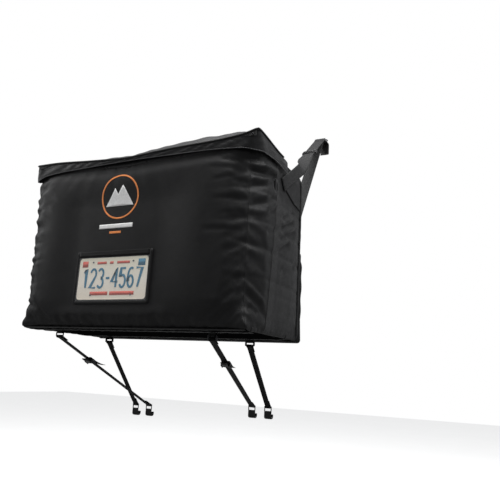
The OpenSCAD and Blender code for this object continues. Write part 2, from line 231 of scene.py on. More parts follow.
def block(name, size, place, material, bevel=0.001, segments=2):
    """Box with rounded edges, its centre and directions given by the matrix place."""
    bm = bmesh.new()
    bmesh.ops.create_cube(bm, size=1.0)
    bmesh.ops.scale(bm, vec=Vector(size), verts=bm.verts)
    if bevel:
        bmesh.ops.bevel(bm, geom=bm.edges[:], offset=bevel, segments=segments, profile=0.6,
                        affect="EDGES")
    bm.transform(place)
    mesh = bpy.data.meshes.new(name)
    bm.to_mesh(mesh)
    bm.free()
    mesh.polygons.foreach_set("use_smooth", [True] * len(mesh.polygons))
    mesh.materials.append(material)
    obj = bpy.data.objects.new(name, mesh)
    bpy.context.collection.objects.link(obj)
    return obj


def tube(name, points, radius, material, sides=12, closed=False):
    """Round tube along points."""
    pts = [Vector(p) for p in points]
    n = len(pts)
    rings = []
    side = None
    for i, p in enumerate(pts):
        before = pts[(i - 1) % n] if closed or i else p
        after = pts[(i + 1) % n] if closed or i < n - 1 else p
        t = (after - before).normalized()
        if side is None:
            side = t.orthogonal().normalized()
        side = (side - t * side.dot(t)).normalized()
        up = t.cross(side)
        ring = []
        for k in range(sides):
            a = 2 * math.pi * k / sides
            ring.append(p + (side * math.cos(a) + up * math.sin(a)) * radius)
        rings.append(ring)
    verts = [v for ring in rings for v in ring]
    return new_object(name, verts, loft_faces(n, sides, closed), material)


def spline(points, per=8):
    """Catmull-Rom curve through points."""
    p = [np.array(q, float) for q in points]
    p = [2 * p[0] - p[1]] + p + [2 * p[-1] - p[-2]]
    out = []
    for i in range(1, len(p) - 2):
        for k in range(per):
            t = k / per
            a, b, c, d = p[i - 1], p[i], p[i + 1], p[i + 2]
            out.append(0.5 * (2 * b + (c - a) * t + (2 * a - 5 * b + 4 * c - d) * t ** 2
                              + (3 * b - a - 3 * c + d) * t ** 3))
    out.append(p[-2])
    return out


def strap(name, points, across, width, thick, material, columns=8, edge=0.6):
    """Flat webbing along points. across gives the width direction at each point."""
    n = len(points)
    pts = [np.array(p, float) for p in points]
    verts = []
    profile = []
    for k in range(columns + 1):
        s = -0.5 + k / columns
        round_off = 1 - edge * max(0.0, (abs(s) - 0.42) / 0.08)
        profile.append((s, 0.5 * round_off))
    outline = [(s, h) for s, h in profile] + [(s, -h) for s, h in reversed(profile)]
    for i, p in enumerate(pts):
        t = pts[min(i + 1, n - 1)] - pts[max(i - 1, 0)]
        t = t / np.linalg.norm(t)
        s = np.array(across[i], float)
        s = s - t * (s @ t)
        s = s / np.linalg.norm(s)
        u = np.cross(t, s)
        for a, h in outline:
            verts.append(p + s * a * width + u * h * thick)
    obj = new_object(name, verts, loft_faces(n, len(outline)), material)
    fix_normals(obj)
    return obj


def frame_at(point, along, across):
    """Matrix whose Z is along and X is nearly across."""
    t = Vector(along).normalized()
    s = Vector(across)
    s = (s - t * s.dot(t)).normalized()
    u = t.cross(s)
    m = Matrix((s, u, t)).transposed().to_4x4()
    m.translation = Vector(point)
    return m


# ---------------------------------------------------------------- materials
def shader(name, color, rough, **sockets):
    mat = bpy.data.materials.new(name)
    mat.use_nodes = True
    tree = mat.node_tree
    bsdf = tree.nodes["Principled BSDF"]
    bsdf.inputs["Base Color"].default_value = (*color, 1)
    bsdf.inputs["Roughness"].default_value = rough
    for key, value in sockets.items():
        bsdf.inputs[key.replace("_", " ")].default_value = value
    return mat, tree, bsdf


def node(tree, kind, **values):
    n = tree.nodes.new(kind)
    for key, value in values.items():
        if hasattr(n, key):
            setattr(n, key, value)
        else:
            n.inputs[key.replace("_", " ")].default_value = value
    return n


def scaled(color, factor):
    return tuple(c * factor for c in color)


def position(tree):
    return node(tree, "ShaderNodeTexCoord").outputs["Object"]


def math_node(tree, op, a, b=None):
    n = node(tree, "ShaderNodeMath", operation=op)
    for i, v in enumerate((a, b)):
        if v is None:
            continue
        if isinstance(v, (int, float)):
            n.inputs[i].default_value = v
        else:
            tree.links.new(v, n.inputs[i])
    return n.outputs[0]


def noise(tree, scale, detail=4, rough=0.5):
    n = node(tree, "ShaderNodeTexNoise", Scale=scale, Detail=detail, Roughness=rough)
    tree.links.new(position(tree), n.inputs["Vector"])
    return n.outputs["Fac"]


def ramp(tree, value, stops):
    n = node(tree, "ShaderNodeValToRGB")
    while len(n.color_ramp.elements) < len(stops):
        n.color_ramp.elements.new(0.5)
    for element, (pos, color) in zip(n.color_ramp.elements, stops):
        element.position = pos
        element.color = (*color, 1) if len(color) == 3 else (color[0],) * 3 + (1,)
    tree.links.new(value, n.inputs["Fac"])
    return n.outputs["Color"]


def add_bump(tree, bsdf, height, strength, distance):
    n = node(tree, "ShaderNodeBump", Strength=strength, Distance=distance)
    tree.links.new(height, n.inputs["Height"])
    before = bsdf.inputs["Normal"].links
    if before:
        tree.links.new(before[0].from_socket, n.inputs["Normal"])
    tree.links.new(n.outputs["Normal"], bsdf.inputs["Normal"])


def stripes(tree, direction, pitch):
    """Waves from -1 to 1 across a direction in the row frame; pitch is for a unit direction."""
    dot = node(tree, "ShaderNodeVectorMath", operation="DOT_PRODUCT")
    tree.links.new(position(tree), dot.inputs[0])
    dot.inputs[1].default_value = tuple(Vector(direction) * (2 * math.pi / pitch))
    return math_node(tree, "SINE", dot.outputs["Value"])


def weave(tree, pitch=0.0016):
    """Plain weave on walls that face any of the three axes."""
    return math_node(tree, "MULTIPLY", stripes(tree, (1, 1, 0), pitch),
                     stripes(tree, (0.35, -0.35, 1), pitch))


def tint(tree, bsdf, source, low, high):
    """Base colour that runs between two stops, each a place on the ramp and a colour."""
    tree.links.new(ramp(tree, source, [low, high]), bsdf.inputs["Base Color"])


def roughen(tree, bsdf, source, low, high):
    """Roughness that runs between two stops, each a place on the ramp and a value."""
    stops = [(at, (value,)) for at, value in (low, high)]
    tree.links.new(ramp(tree, source, stops), bsdf.inputs["Roughness"])


def coated_fabric(name, color, rough, crumple, sheen):
    """Coated oxford cloth: fine weave, soft crumples and rubbed, dusty patches."""
    mat, tree, bsdf = shader(name, color, rough, Sheen_Weight=sheen, Sheen_Roughness=0.45,
                             Specular_IOR_Level=0.14)
    light = tuple(c * 1.28 + 0.002 for c in color)
    tint(tree, bsdf, noise(tree, 5.5, 6, 0.6), (0.25, scaled(color, 0.78)), (0.8, light))
    roughen(tree, bsdf, noise(tree, 23, 5, 0.6), (0.3, rough - 0.07), (0.75, rough + 0.09))
    add_bump(tree, bsdf, weave(tree), 0.30, 0.00025)
    add_bump(tree, bsdf, noise(tree, 14, 3, 0.5), crumple, 0.006)
    add_bump(tree, bsdf, noise(tree, 75, 3, 0.6), crumple * 0.5, 0.0010)
    return mat


def webbing_material(name, color, gloss=0.25):
    mat, tree, bsdf = shader(name, color, 0.62, Sheen_Weight=0.03, Specular_IOR_Level=gloss)
    pattern = math_node(tree, "MULTIPLY", stripes(tree, (0.5, 0.9, 1.25), 0.0026),
                        stripes(tree, (1.4, -0.3, 0.2), 0.0022))
    tint(tree, bsdf, math_node(tree, "MULTIPLY_ADD", pattern, 0.5),
         (0.0, scaled(color, 0.7)), (1.0, scaled(color, 1.5)))
    add_bump(tree, bsdf, pattern, 0.5, 0.0006)
    add_bump(tree, bsdf, noise(tree, 60, 3), 0.2, 0.0015)
    return mat


def moulded(name, color, rough, grain=260, strength=0.18, gloss=0.28):
    mat, tree, bsdf = shader(name, color, rough, Specular_IOR_Level=gloss)
    tint(tree, bsdf, noise(tree, 35, 4), (0.3, scaled(color, 0.8)), (0.8, scaled(color, 1.35)))
    roughen(tree, bsdf, noise(tree, 90, 4), (0.3, rough - 0.08), (0.8, rough + 0.1))
    add_bump(tree, bsdf, noise(tree, grain, 4, 0.6), strength, 0.0006)
    return mat


def metal_material(name, color, rough):
    mat, tree, bsdf = shader(name, color, rough, Metallic=1.0)
    roughen(tree, bsdf, noise(tree, 120, 5), (0.3, rough - 0.08), (0.75, rough + 0.14))
    tint(tree, bsdf, noise(tree, 45, 4), (0.3, scaled(color, 0.8)), (0.8, color))
    add_bump(tree, bsdf, noise(tree, 420, 2), 0.12, 0.0003)
    return mat


def print_material(name, color):
    """Screen print: takes the weave under it, with a slightly worn colour."""
    mat, tree, bsdf = shader(name, color, 0.55)
    tint(tree, bsdf, noise(tree, 160, 5), (0.3, scaled(color, 0.86)), (0.6, color))
    add_bump(tree, bsdf, weave(tree), 0.3, 0.00025)
    return mat


def vinyl_material():
    mat, tree, bsdf = shader("clear_vinyl", (0.95, 0.96, 0.96), 0.16, Alpha=0.05,
                             Specular_IOR_Level=0.15)
    add_bump(tree, bsdf, noise(tree, 14, 2), 0.12, 0.004)
    return mat


def mesh_material(name, color):
    """Open-cell non-slip mat."""
    mat, tree, bsdf = shader(name, color, 0.85)
    cells = node(tree, "ShaderNodeTexVoronoi", Scale=210)
    tree.links.new(position(tree), cells.inputs["Vector"])
    depth = cells.outputs["Distance"]
    tint(tree, bsdf, depth, (0.15, scaled(color, 0.4)), (0.5, color))
    add_bump(tree, bsdf, depth, 0.8, 0.0015)
    return mat


FABRIC = coated_fabric("coated_fabric", (0.0074, 0.0074, 0.0077), 0.46, 0.12, 0.02)
LINING = coated_fabric("lining", (0.055, 0.057, 0.062), 0.62, 0.25, 0.05)
WEBBING = webbing_material("webbing", (0.0052, 0.0052, 0.0055))
SIDE_WEB = webbing_material("side_webbing", (0.0119, 0.0119, 0.0123))
# narrow webbing under the bag: painted near black as painted shade under the bag, and less glossy
TIE_WEB_PAINTED_SHADE = webbing_material("tie_webbing_painted_shade", (0.0016, 0.0016, 0.0017), 0.10)
BINDING = webbing_material("binding", (0.0036, 0.0036, 0.0038))
PIPING = coated_fabric("piping_cloth", (0.0186, 0.0186, 0.0192), 0.36, 0.15, 0.05)
PLASTIC = moulded("acetal", (0.0048, 0.0048, 0.0051), 0.38)
COATING = moulded("dipped_coating", (0.0044, 0.0044, 0.0045), 0.45, 180, 0.25)
STEEL = metal_material("steel", (0.34, 0.34, 0.35), 0.36)
DARK_STEEL = metal_material("dark_steel", (0.050, 0.050, 0.053), 0.42)
ORANGE = print_material("orange_print", (0.80, 0.24, 0.045))
WHITE = print_material("white_print", (0.80, 0.80, 0.79))
VINYL = vinyl_material()
MAT = mesh_material("grip_mat", (0.035, 0.035, 0.036))
BOARD = moulded("base_board", (0.006, 0.006, 0.006), 0.60)
ZIP = webbing_material("zip_tape", (0.0049, 0.0049, 0.0052))
# lid cloth: the coated fabric painted about twice as light, as painted light falling on the lid
FABRIC_LID_PAINTED_LIGHT = coated_fabric("lid_fabric_painted_light", (0.0155, 0.0155, 0.0161), 0.40, 0.22, 0.05)
POCKET = coated_fabric("pocket_fabric", (0.0065, 0.0065, 0.0068), 0.46, 0.10, 0.02)
# downward faces of the shell: the cloth painted darker and matt, as painted shade under the bag
UNDERSIDE_PAINTED_SHADE = moulded("underside_painted_shade", (0.0035, 0.0035, 0.0036), 0.85, 300, 0.3, 0.0)
# piping cloth painted three times lighter, as a painted highlight along the skirt's lower edge
PIPING_PAINTED_HIGHLIGHT = coated_fabric("hem_piping_painted_highlight", (0.0562, 0.0562, 0.0585), 0.34, 0.1, 0.1)
THREAD = moulded("thread", (0.0112, 0.0112, 0.0119), 0.6)


def plate_material():
    """Painted aluminium sheet: cream, paler towards the middle, with faint dust."""
    mat, tree, bsdf = shader("plate_paint", (0.80, 0.74, 0.62), 0.34)
    lo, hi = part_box("number_plate")
    parts = node(tree, "ShaderNodeSeparateXYZ")
    tree.links.new(position(tree), parts.inputs[0])
    up = math_node(tree, "MULTIPLY_ADD", parts.outputs["Z"], 1 / (hi.z - lo.z))
    up.node.inputs[2].default_value = -lo.z / (hi.z - lo.z)
    tree.links.new(ramp(tree, up, [(0.0, (0.80, 0.72, 0.60)), (0.45, (0.82, 0.77, 0.68)),
                                   (1.0, (0.78, 0.74, 0.60))]), bsdf.inputs["Base Color"])
    roughen(tree, bsdf, noise(tree, 60, 5), (0.3, 0.24), (0.8, 0.42))
    add_bump(tree, bsdf, noise(tree, 130, 3), 0.08, 0.0004)
    return mat


PLATE = plate_material()
INK_BLUE = print_material("plate_blue", (0.003, 0.15, 0.26))
INK_RED = print_material("plate_red", (0.52, 0.050, 0.022))
# glossier acetal for one slider bar, its colour also painted four times lighter as a painted highlight
GLOSS_PAINTED_HIGHLIGHT = moulded("polished_acetal_painted_highlight", (0.020, 0.020, 0.021), 0.24, gloss=0.6)
HOLE = moulded("plate_hole", (0.004, 0.004, 0.004), 0.7)


# ---------------------------------------------------------------- camera, floor and light
CAMERA_AT = Vector((1.229, -2.0415, -0.456))
CAMERA_FORWARD = Vector((-0.4247, 0.8782, 0.2202)).normalized()
CAMERA_UP = Vector((0.0477, -0.2212, 0.9740))
CAMERA_LENS, SENSOR = 39.96, 36
FLOOR_DROP, FLOOR_REACH = 0.42, 9       # floor below the lowest hook, and half its width
FLOOR_GLOW, FLOOR_DIM = 0.50, 0.30      # to the eye, and to the light that it throws back
FILL, BACKDROP = 0.43, 1.0              # world light on the object, and the white behind it
LAMPS = (("overhead", (0.1, -0.75, 2.6), (0, -0.3, 0.1), (2.0, 1.2), 112),
         ("side", (2.0, -0.5, 2.1), (0.45, -0.25, 0.0), (0.8, 1.2), 62),
         ("left_rim", (-2.4, -1.2, 1.1), (-0.4, -0.3, 0.0), (0.8, 1.6), 20))


def add_camera():
    cam = bpy.data.objects.new("camera", bpy.data.cameras.new("camera"))
    bpy.context.collection.objects.link(cam)
    right = CAMERA_FORWARD.cross(CAMERA_UP).normalized()
    up = right.cross(CAMERA_FORWARD)
    m = Matrix((right, up, -CAMERA_FORWARD)).transposed().to_4x4()
    m.translation = CAMERA_AT
    cam.matrix_world = m
    cam.data.sensor_width = SENSOR
    cam.data.lens = CAMERA_LENS
    cam.data.clip_start = 0.05
    bpy.context.scene.camera = cam


def add_light(name, place_at, aim, size, power):
    data = bpy.data.lights.new(name, "AREA")
    data.energy = power
    data.shape = "RECTANGLE"
    data.size, data.size_y = size
    obj = bpy.data.objects.new(name, data)
    bpy.context.collection.objects.link(obj)
    obj.location = place_at
    obj.rotation_mode = "QUATERNION"
    obj.rotation_quaternion = (Vector(aim) - Vector(place_at)).to_track_quat("-Z", "Y")


def mix_shaders(tree, chooser, off, on):
    """Mix of two shaders: off where the chooser is 0, on where it is 1."""
    mix = node(tree, "ShaderNodeMixShader")
    for source, socket in zip((chooser, off, on), mix.inputs):
        tree.links.new(source, socket)
    return mix.outputs[0]


def seen_by_camera(tree):
    return node(tree, "ShaderNodeLightPath").outputs["Is Camera Ray"]


def add_floor():
    low, r = CAD_BOX[0].z - FLOOR_DROP, FLOOR_REACH
    floor = new_object("floor", [(-r, -r, low), (r, -r, low), (r, r, low), (-r, r, low)],
                       [(0, 1, 2, 3)], None, False)
    mat, tree, bsdf = shader("floor", (0.86, 0.86, 0.85), 0.7, Emission_Color=(1, 1, 1, 1),
                             Emission_Strength=FLOOR_GLOW)
    tint(tree, bsdf, noise(tree, 3, 3), (0.3, (0.72, 0.72, 0.715)), (0.7, (0.75, 0.75, 0.745)))
    # pale to the eye, but it throws little light back up under the object
    dim = node(tree, "ShaderNodeBsdfDiffuse", Color=(FLOOR_DIM, FLOOR_DIM, FLOOR_DIM, 1))
    above = mix_shaders(tree, seen_by_camera(tree), dim.outputs[0], bsdf.outputs[0])
    # seen from below, the floor lets the underside of the object show
    clear = node(tree, "ShaderNodeBsdfTransparent").outputs[0]
    below = node(tree, "ShaderNodeNewGeometry").outputs["Backfacing"]
    tree.links.new(mix_shaders(tree, below, above, clear),
                   tree.nodes["Material Output"].inputs["Surface"])
    floor.data.materials.append(mat)


def add_world():
    world = bpy.data.worlds.new("studio")
    bpy.context.scene.world = world
    world.use_nodes = True
    tree = world.node_tree
    fill = tree.nodes["Background"]
    fill.inputs["Color"].default_value = (0.97, 0.98, 1.0, 1)
    fill.inputs["Strength"].default_value = FILL
    backdrop = node(tree, "ShaderNodeBackground", Color=(1, 1, 1, 1), Strength=BACKDROP)
    tree.links.new(mix_shaders(tree, seen_by_camera(tree), fill.outputs[0], backdrop.outputs[0]),
                   tree.nodes["World Output"].inputs[0])


def add_studio():
    add_floor()
    add_world()
    for lamp in LAMPS:
        add_light(*lamp)


# ---------------------------------------------------------------- the bag's cloth shell
CORNER_R = {-1: 0.016, 1: 0.070}        # how softly the left and right front corners turn


def shell_point(u, v, w):
    """Point of the empty bag's outer surface; u, v, w run 0 to 1 over width, depth and height."""
    x0, x1 = -HALF_W + 0.004, HALF_W - 0.004
    y0, y1 = Y_FRONT + 0.003, Y_BACK - 0.001
    z0, z1 = Z_BOTTOM + 0.003, Z_RIM
    x, y, z = x0 + (x1 - x0) * u, y0 + (y1 - y0) * v, z0 + (z1 - z0) * w
    for sx in (-1, 1):
        r = CORNER_R[sx] * float(smooth(0.0, 0.16, w)) + 0.004
        cx, cy = sx * (x1 - r), y0 + r
        if sx * (x - cx) > 0 and y < cy:
            dx, dy = sx * (x - cx) / r, (cy - y) / r
            k = max(dx, dy) / max(1e-9, math.hypot(dx, dy))
            x, y = cx + sx * dx * k * r, cy - dy * k * r
    rb = 0.022                          # the front turns under along its bottom edge
    if z < z0 + rb and y < y0 + rb:
        dy, dz = (y0 + rb - y) / rb, (z0 + rb - z) / rb
        k = max(dy, dz) / max(1e-9, math.hypot(dy, dz))
        y, z = y0 + rb - dy * k * rb, z0 + rb - dz * k * rb
    return Vector((x, y, z))


def box_shell(nx, ny, nz):
    """Grid points and faces on five sides of a box, open at the top."""
    index, verts, faces = {}, [], []

    def at(i, j, k):
        if (i, j, k) not in index:
            index[(i, j, k)] = len(verts)
            verts.append((i, j, k))
        return index[(i, j, k)]

    for i in range(nx):
        for k in range(nz):
            faces.append((at(i, 0, k), at(i + 1, 0, k), at(i + 1, 0, k + 1), at(i, 0, k + 1)))
            faces.append((at(i + 1, ny, k), at(i, ny, k), at(i, ny, k + 1), at(i + 1, ny, k + 1)))
    for j in range(ny):
        for k in range(nz):
            faces.append((at(nx, j, k), at(nx, j + 1, k), at(nx, j + 1, k + 1), at(nx, j, k + 1)))
            faces.append((at(0, j + 1, k), at(0, j, k), at(0, j, k + 1), at(0, j + 1, k + 1)))
    for i in range(nx):
        for j in range(ny):
            faces.append((at(i, j + 1, 0), at(i + 1, j + 1, 0), at(i + 1, j, 0), at(i, j, 0)))
    return verts, faces


def cloth(obj, pins, frames, pressure, extra, bending=0.6, quality=7, tension=12):
    """Runs Blender's cloth on obj, with extra share of cloth between the pinned points."""
    group = obj.vertex_groups.new(name="pin")
    for value in sorted(set(pins)):
        if value > 0:
            group.add([i for i, p in enumerate(pins) if p == value], value, "REPLACE")
    mod = obj.modifiers.new("cloth", "CLOTH")
    s = mod.settings
    s.quality = quality
    s.mass = 0.25
    s.tension_stiffness = tension
    s.compression_stiffness = tension
    s.shear_stiffness = tension * 0.5
    s.bending_stiffness = bending
    s.air_damping = 2.0
    s.vertex_group_mass = "pin"
    s.use_pressure = True
    s.uniform_pressure_force = pressure
    s.shrink_min = -extra
    s.shrink_max = -extra
    s.effector_weights.gravity = 0.12
    mod.point_cache.frame_start = 1
    mod.point_cache.frame_end = frames
    scene = bpy.context.scene
    for f in range(1, frames + 1):
        scene.frame_set(f)
    apply_modifiers(obj)
    obj.vertex_groups.clear()
    scene.frame_set(1)
    return obj


def make_shell():
    nx, ny, nz = 92, 44, 62
    grid, faces = box_shell(nx, ny, nz)
    verts = [shell_point(i / nx, j / ny, k / nz) for i, j, k in grid]
    shell = new_object("bag_shell", verts, faces, FABRIC)
    rest = np.array([tuple(v) for v in verts])
    pins = []
    for i, j, k in grid:
        on_x, on_y = i in (0, nx), j in (0, ny)
        seam = (on_x and on_y) or k == nz or (k == 0 and (on_x or on_y))
        pins.append(1.0 if seam else (0.25 if k == 0 else 0.0))
    co = rest.copy()
    rng = np.random.default_rng(11)
    for n, (i, j, k) in enumerate(grid):
        if i in (0, nx) and j == 0 and 2 < k < nz - 1:
            sx = -1 if i == 0 else 1
            pull = 0.0012 * math.sin(k * 1.9 + 2 * math.sin(k * 0.6) + sx) + rng.normal(0, 0.0005)
            soft = 1.0 if sx < 0 else 0.15
            co[n, 0] -= sx * (0.002 + pull) * soft
            co[n, 1] += (0.002 + pull) * soft
    free = np.array(pins) == 0
    x, y, z = rest.T
    wave = np.sin(z * 2 * math.pi / 0.052 + 3 * np.sin(x * 9) + np.sin(z * 31))
    near_front = np.exp(-(HALF_W - np.abs(x)) / 0.05) * (y < Y_FRONT + 0.02)
    near_side = np.exp(-(y - Y_FRONT) / 0.06) * (np.abs(x) > HALF_W - 0.02)
    co[free, 1] -= (0.0030 * wave * near_front)[free]
    co[free, 0] += (0.0030 * wave * near_side * np.sign(x))[free]
    co[free] += rng.normal(0, 0.0006, (free.sum(), 3))
    set_coords(shell, co)
    cloth(shell, pins, frames=26, pressure=2.2, extra=0.018)
    co = coords(shell)
    front_seam = {}
    for sx, i0 in ((-1, 0), (1, nx)):
        front_seam[sx] = [n for _, n in sorted((k, n) for n, (i, j, k) in enumerate(grid)
                                               if i == i0 and j == 0)]
    keep_inside(co)
    index = {key: n for n, key in enumerate(grid)}
    calm(co, index, 0, ny, nz)
    calm(co, index, nx, ny, nz)
    set_coords(shell, co)
    # the subdivision keeps the first vertices in their order, so the seam's numbers still hold
    subdivide(shell, 1)
    co = coords(shell)
    add_gathers(co)
    add_creases(co)
    lean_corner(co)
    sag_rim(co)
    clear_fittings(co)
    set_coords(shell, co)
    return shell, {sx: [Vector(co[n]) for n in column] for sx, column in front_seam.items()}


def keep_inside(co):
    """Holds the swollen cloth to a shallow cushion, flat behind the plate's path."""
    y, z = co[:, 1], co[:, 2]
    top = smooth(Z_RIM - 0.075, Z_RIM - 0.03, z)
    front = y < Y_FRONT + 0.03
    limit = Y_FRONT - 0.009 * (1 - top)
    over = np.maximum(0, limit - y)
    co[:, 1] = np.where(front, y + over * 0.8, y)
    side = np.maximum(0, np.abs(co[:, 0]) - (HALF_W + 0.008 * (1 - top)))
    co[:, 0] -= np.sign(co[:, 0]) * side * 0.9
    back = np.maximum(0, co[:, 1] - (Y_BACK - 0.001))
    co[:, 1] -= back
    low = np.maximum(0, Z_BOTTOM - 0.012 - co[:, 2])
    co[:, 2] += low * 0.8


def calm(co, index, i, ny, nz):
    """Irons the rear part of a side wall, which hangs flat."""
    ids = np.array([[index[(i, j, k)] for k in range(nz + 1)] for j in range(ny + 1)])
    flat = co[ids, 0].copy()
    amount = 0.85 * smooth(-0.37, -0.27, co[ids, 1])
    for _ in range(25):
        flat[1:-1, 1:-1] = (flat[:-2, 1:-1] + flat[2:, 1:-1] + flat[1:-1, :-2] + flat[1:-1, 2:]) / 4
    co[ids, 0] += (flat - co[ids, 0]) * amount


def clear_fittings(co):
    """Clears the cloth from the way of the plate, which slides up, and from the straps' ends."""
    lo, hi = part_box("plate_pocket")
    x, y, z = co[:, 0], co[:, 1], co[:, 2]
    reach = smooth(lo.x - 0.16, lo.x + 0.002, x) * (1 - smooth(hi.x - 0.002, hi.x + 0.20, x)) \
        * smooth(lo.z - 0.075, lo.z + 0.002, z) * (1 - smooth(0.125, 0.25, z))
    co[:, 1] = np.where(y < Y_FRONT - 0.0002, y + (Y_FRONT - 0.0002 - y) * reach, y)
    reach = smooth(-0.330, -0.270, y) * smooth(0.10, 0.185, z)
    over = np.maximum(0, np.abs(co[:, 0]) - (HALF_W + 0.0003)) * reach
    co[:, 0] -= np.sign(co[:, 0]) * over


def gather_list(seed, low, high, step):
    rng = random.Random(seed)
    z, out = low, []
    while z < high:
        out.append((z, rng.choice((0.2, 0.5, 0.7, 1.0, 1.25)), rng.uniform(0.45, 1.35),
                    rng.uniform(-0.30, 0.30)))
        z += rng.uniform(0.7, 1.35) * step
    return out


def add_gathers(co):
    """Short folds that run away from both front vertical seams, on the front and on the side."""
    x, y, z = co[:, 0].copy(), co[:, 1].copy(), co[:, 2].copy()
    for sx, seed in ((-1, 3), (1, 8)):
        turn = CORNER_R[sx]
        d_front = np.maximum(0, HALF_W - sx * x)
        d_side = np.maximum(0, y - Y_FRONT)
        face_f = (1 - smooth(Y_FRONT + 0.010, Y_FRONT + 0.045, y)) * (sx * x > 0)
        face_s = smooth(HALF_W - 0.045, HALF_W - 0.012, sx * x) * (y < Y_BACK - 0.06)
        crossing = bump(d_front, turn * 0.35, turn * 0.9) if sx > 0 else 0.0
        for zc, deep, long, slope in gather_list(seed, -0.275, 0.262, 0.036 if sx < 0 else 0.042):
            tilt = slope + (0.75 if sx < 0 else -0.2) * float(smooth(0.10, 0.25, zc))
            reach = 0.050 * long + turn * 0.35
            width = 0.0065 + 0.009 * d_front + (0.0015 if sx > 0 else 0)
            fold = bump(z, zc + tilt * d_front, width) * bump(d_front, 0, reach)
            co[:, 1] += (0.0040 if sx < 0 else 0.0019) * deep * fold * face_f
            co[:, 0] -= sx * 0.0022 * deep * fold * crossing
            tilt = -0.45 + 1.0 * float(smooth(-0.06, 0.12, zc)) + slope
            width = 0.0070 + 0.009 * d_side
            fold = bump(z, zc + 0.006 + tilt * d_side, width) \
                * bump(d_side, 0, 0.040 * long + 0.02 + turn * 0.5)
            co[:, 0] -= sx * (0.0040 if sx < 0 else 0.0026) * deep * fold * face_s
        # ridges between the folds stand a little proud, so the outline is lumpy
        lump = np.sin(z * 2 * math.pi / 0.061 + 2.2 * np.sin(z * 23 + seed))
        co[:, 1] -= 0.0016 * lump * face_f * np.exp(-d_front / 0.03)
        co[:, 0] += sx * 0.0022 * lump * face_s * np.exp(-d_side / 0.03)
    for xc, deep, long, slope in gather_list(21, -0.45, 0.45, 0.055):
        d = np.maximum(0, z - Z_BOTTOM)
        fold = bump(x, xc + slope * d, 0.011) * bump(d, 0, 0.045 * long)
        co[:, 1] += 0.0030 * deep * fold * (y < Y_FRONT + 0.03)
    # longer creases of the front near the right corner, as x, z of both ends and depth
    for xa, za, xb, zb, deep in FRONT_CREASES:
        _, along, off = from_line(x, z, (xa, za), (xb, zb))
        fade = smooth(-0.10, 0.3, along) * (1 - smooth(0.75, 1.10, along))
        co[:, 1] += 0.00045 * deep * fade * (y < Y_FRONT + 0.05) * (
            bump(off, 0, 0.009) - 0.5 * bump(off, 0.018, 0.010))


def from_line(x, y, a, b):
    """Length of the line from a to b, and where points lie: share along it, distance beside it."""
    run = np.array([b[0] - a[0], b[1] - a[1]])
    length = np.hypot(*run)
    along = ((x - a[0]) * run[0] + (y - a[1]) * run[1]) / length ** 2
    off = ((x - a[0]) * -run[1] + (y - a[1]) * run[0]) / length
    return length, along, off


FRONT_CREASES = [(0.300, 0.012, 0.452, 0.004, 5.0), (0.330, 0.118, 0.450, 0.108, 3.6),
                 (0.325, 0.186, 0.445, 0.196, 3.2), (0.360, 0.062, 0.462, 0.066, 3.4),
                 (0.345, 0.262, 0.455, 0.232, 4.0), (0.300, 0.240, 0.400, 0.222, 2.4),
                 (0.372, -0.060, 0.460, -0.052, 2.6), (0.380, -0.140, 0.455, -0.152, 3.0),
                 (0.330, -0.232, 0.420, -0.262, 3.6), (0.375, -0.275, 0.452, -0.225, 3.6),
                 (-0.475, 0.262, -0.360, 0.170, 4.0), (-0.470, 0.212, -0.385, 0.120, 3.4),
                 (-0.478, 0.150, -0.400, 0.085, 2.6)]


# Creases on the right side wall, as y, z of both ends and depth; the left wall has its own
CREASES = {1: [(-0.470, 0.217, -0.291, 0.242, 7.0), (-0.474, 0.253, -0.423, 0.246, 4.0),
               (-0.333, 0.226, -0.321, 0.183, 4.5), (-0.470, 0.155, -0.345, 0.212, 3.6),
               (-0.460, 0.093, -0.300, 0.176, 3.4), (-0.410, 0.060, -0.275, 0.150, 3.0),
               (-0.258, 0.100, -0.115, 0.172, 5.0), (-0.266, 0.058, -0.140, 0.118, 5.0),
               (-0.276, 0.020, -0.115, 0.086, 4.8), (-0.286, -0.030, -0.180, 0.026, 4.4),
               (-0.460, -0.196, -0.392, -0.236, 3.6), (-0.455, -0.243, -0.410, -0.262, 3.0),
               (-0.380, 0.020, -0.300, 0.050, 2.0), (-0.240, -0.096, -0.110, -0.046, 3.0),
               (-0.175, 0.228, -0.158, 0.212, 3.0)],
           -1: [(-0.455, 0.205, -0.300, 0.236, 6.0), (-0.440, 0.120, -0.310, 0.190, 3.4),
                (-0.445, 0.040, -0.310, 0.110, 3.0), (-0.255, 0.100, -0.120, 0.160, 3.4),
                (-0.270, 0.010, -0.130, 0.070, 3.0), (-0.290, -0.080, -0.180, -0.040, 2.6),
                (-0.450, -0.200, -0.390, -0.240, 3.2), (-0.325, 0.220, -0.318, 0.170, 4.0)]}


def add_creases(co):
    x, y, z = co[:, 0].copy(), co[:, 1].copy(), co[:, 2].copy()
    for sx, lines in CREASES.items():
        wall = smooth(HALF_W - 0.050, HALF_W - 0.016, sx * x)
        for ya, za, yb, zb, deep in lines:
            length, along, off = from_line(y, z, (ya, za), (yb, zb))
            off = off + 0.10 * length * (0.25 - (np.clip(along, 0, 1) - 0.5) ** 2)
            fade = smooth(-0.12, 0.15, along) * (1 - smooth(0.80, 1.12, along))
            width = 0.0085 + 0.0006 * deep
            co[:, 0] -= sx * wall * fade * 0.0017 * deep * (
                bump(off, 0, width) - 0.55 * bump(off, 1.9 * width, width))


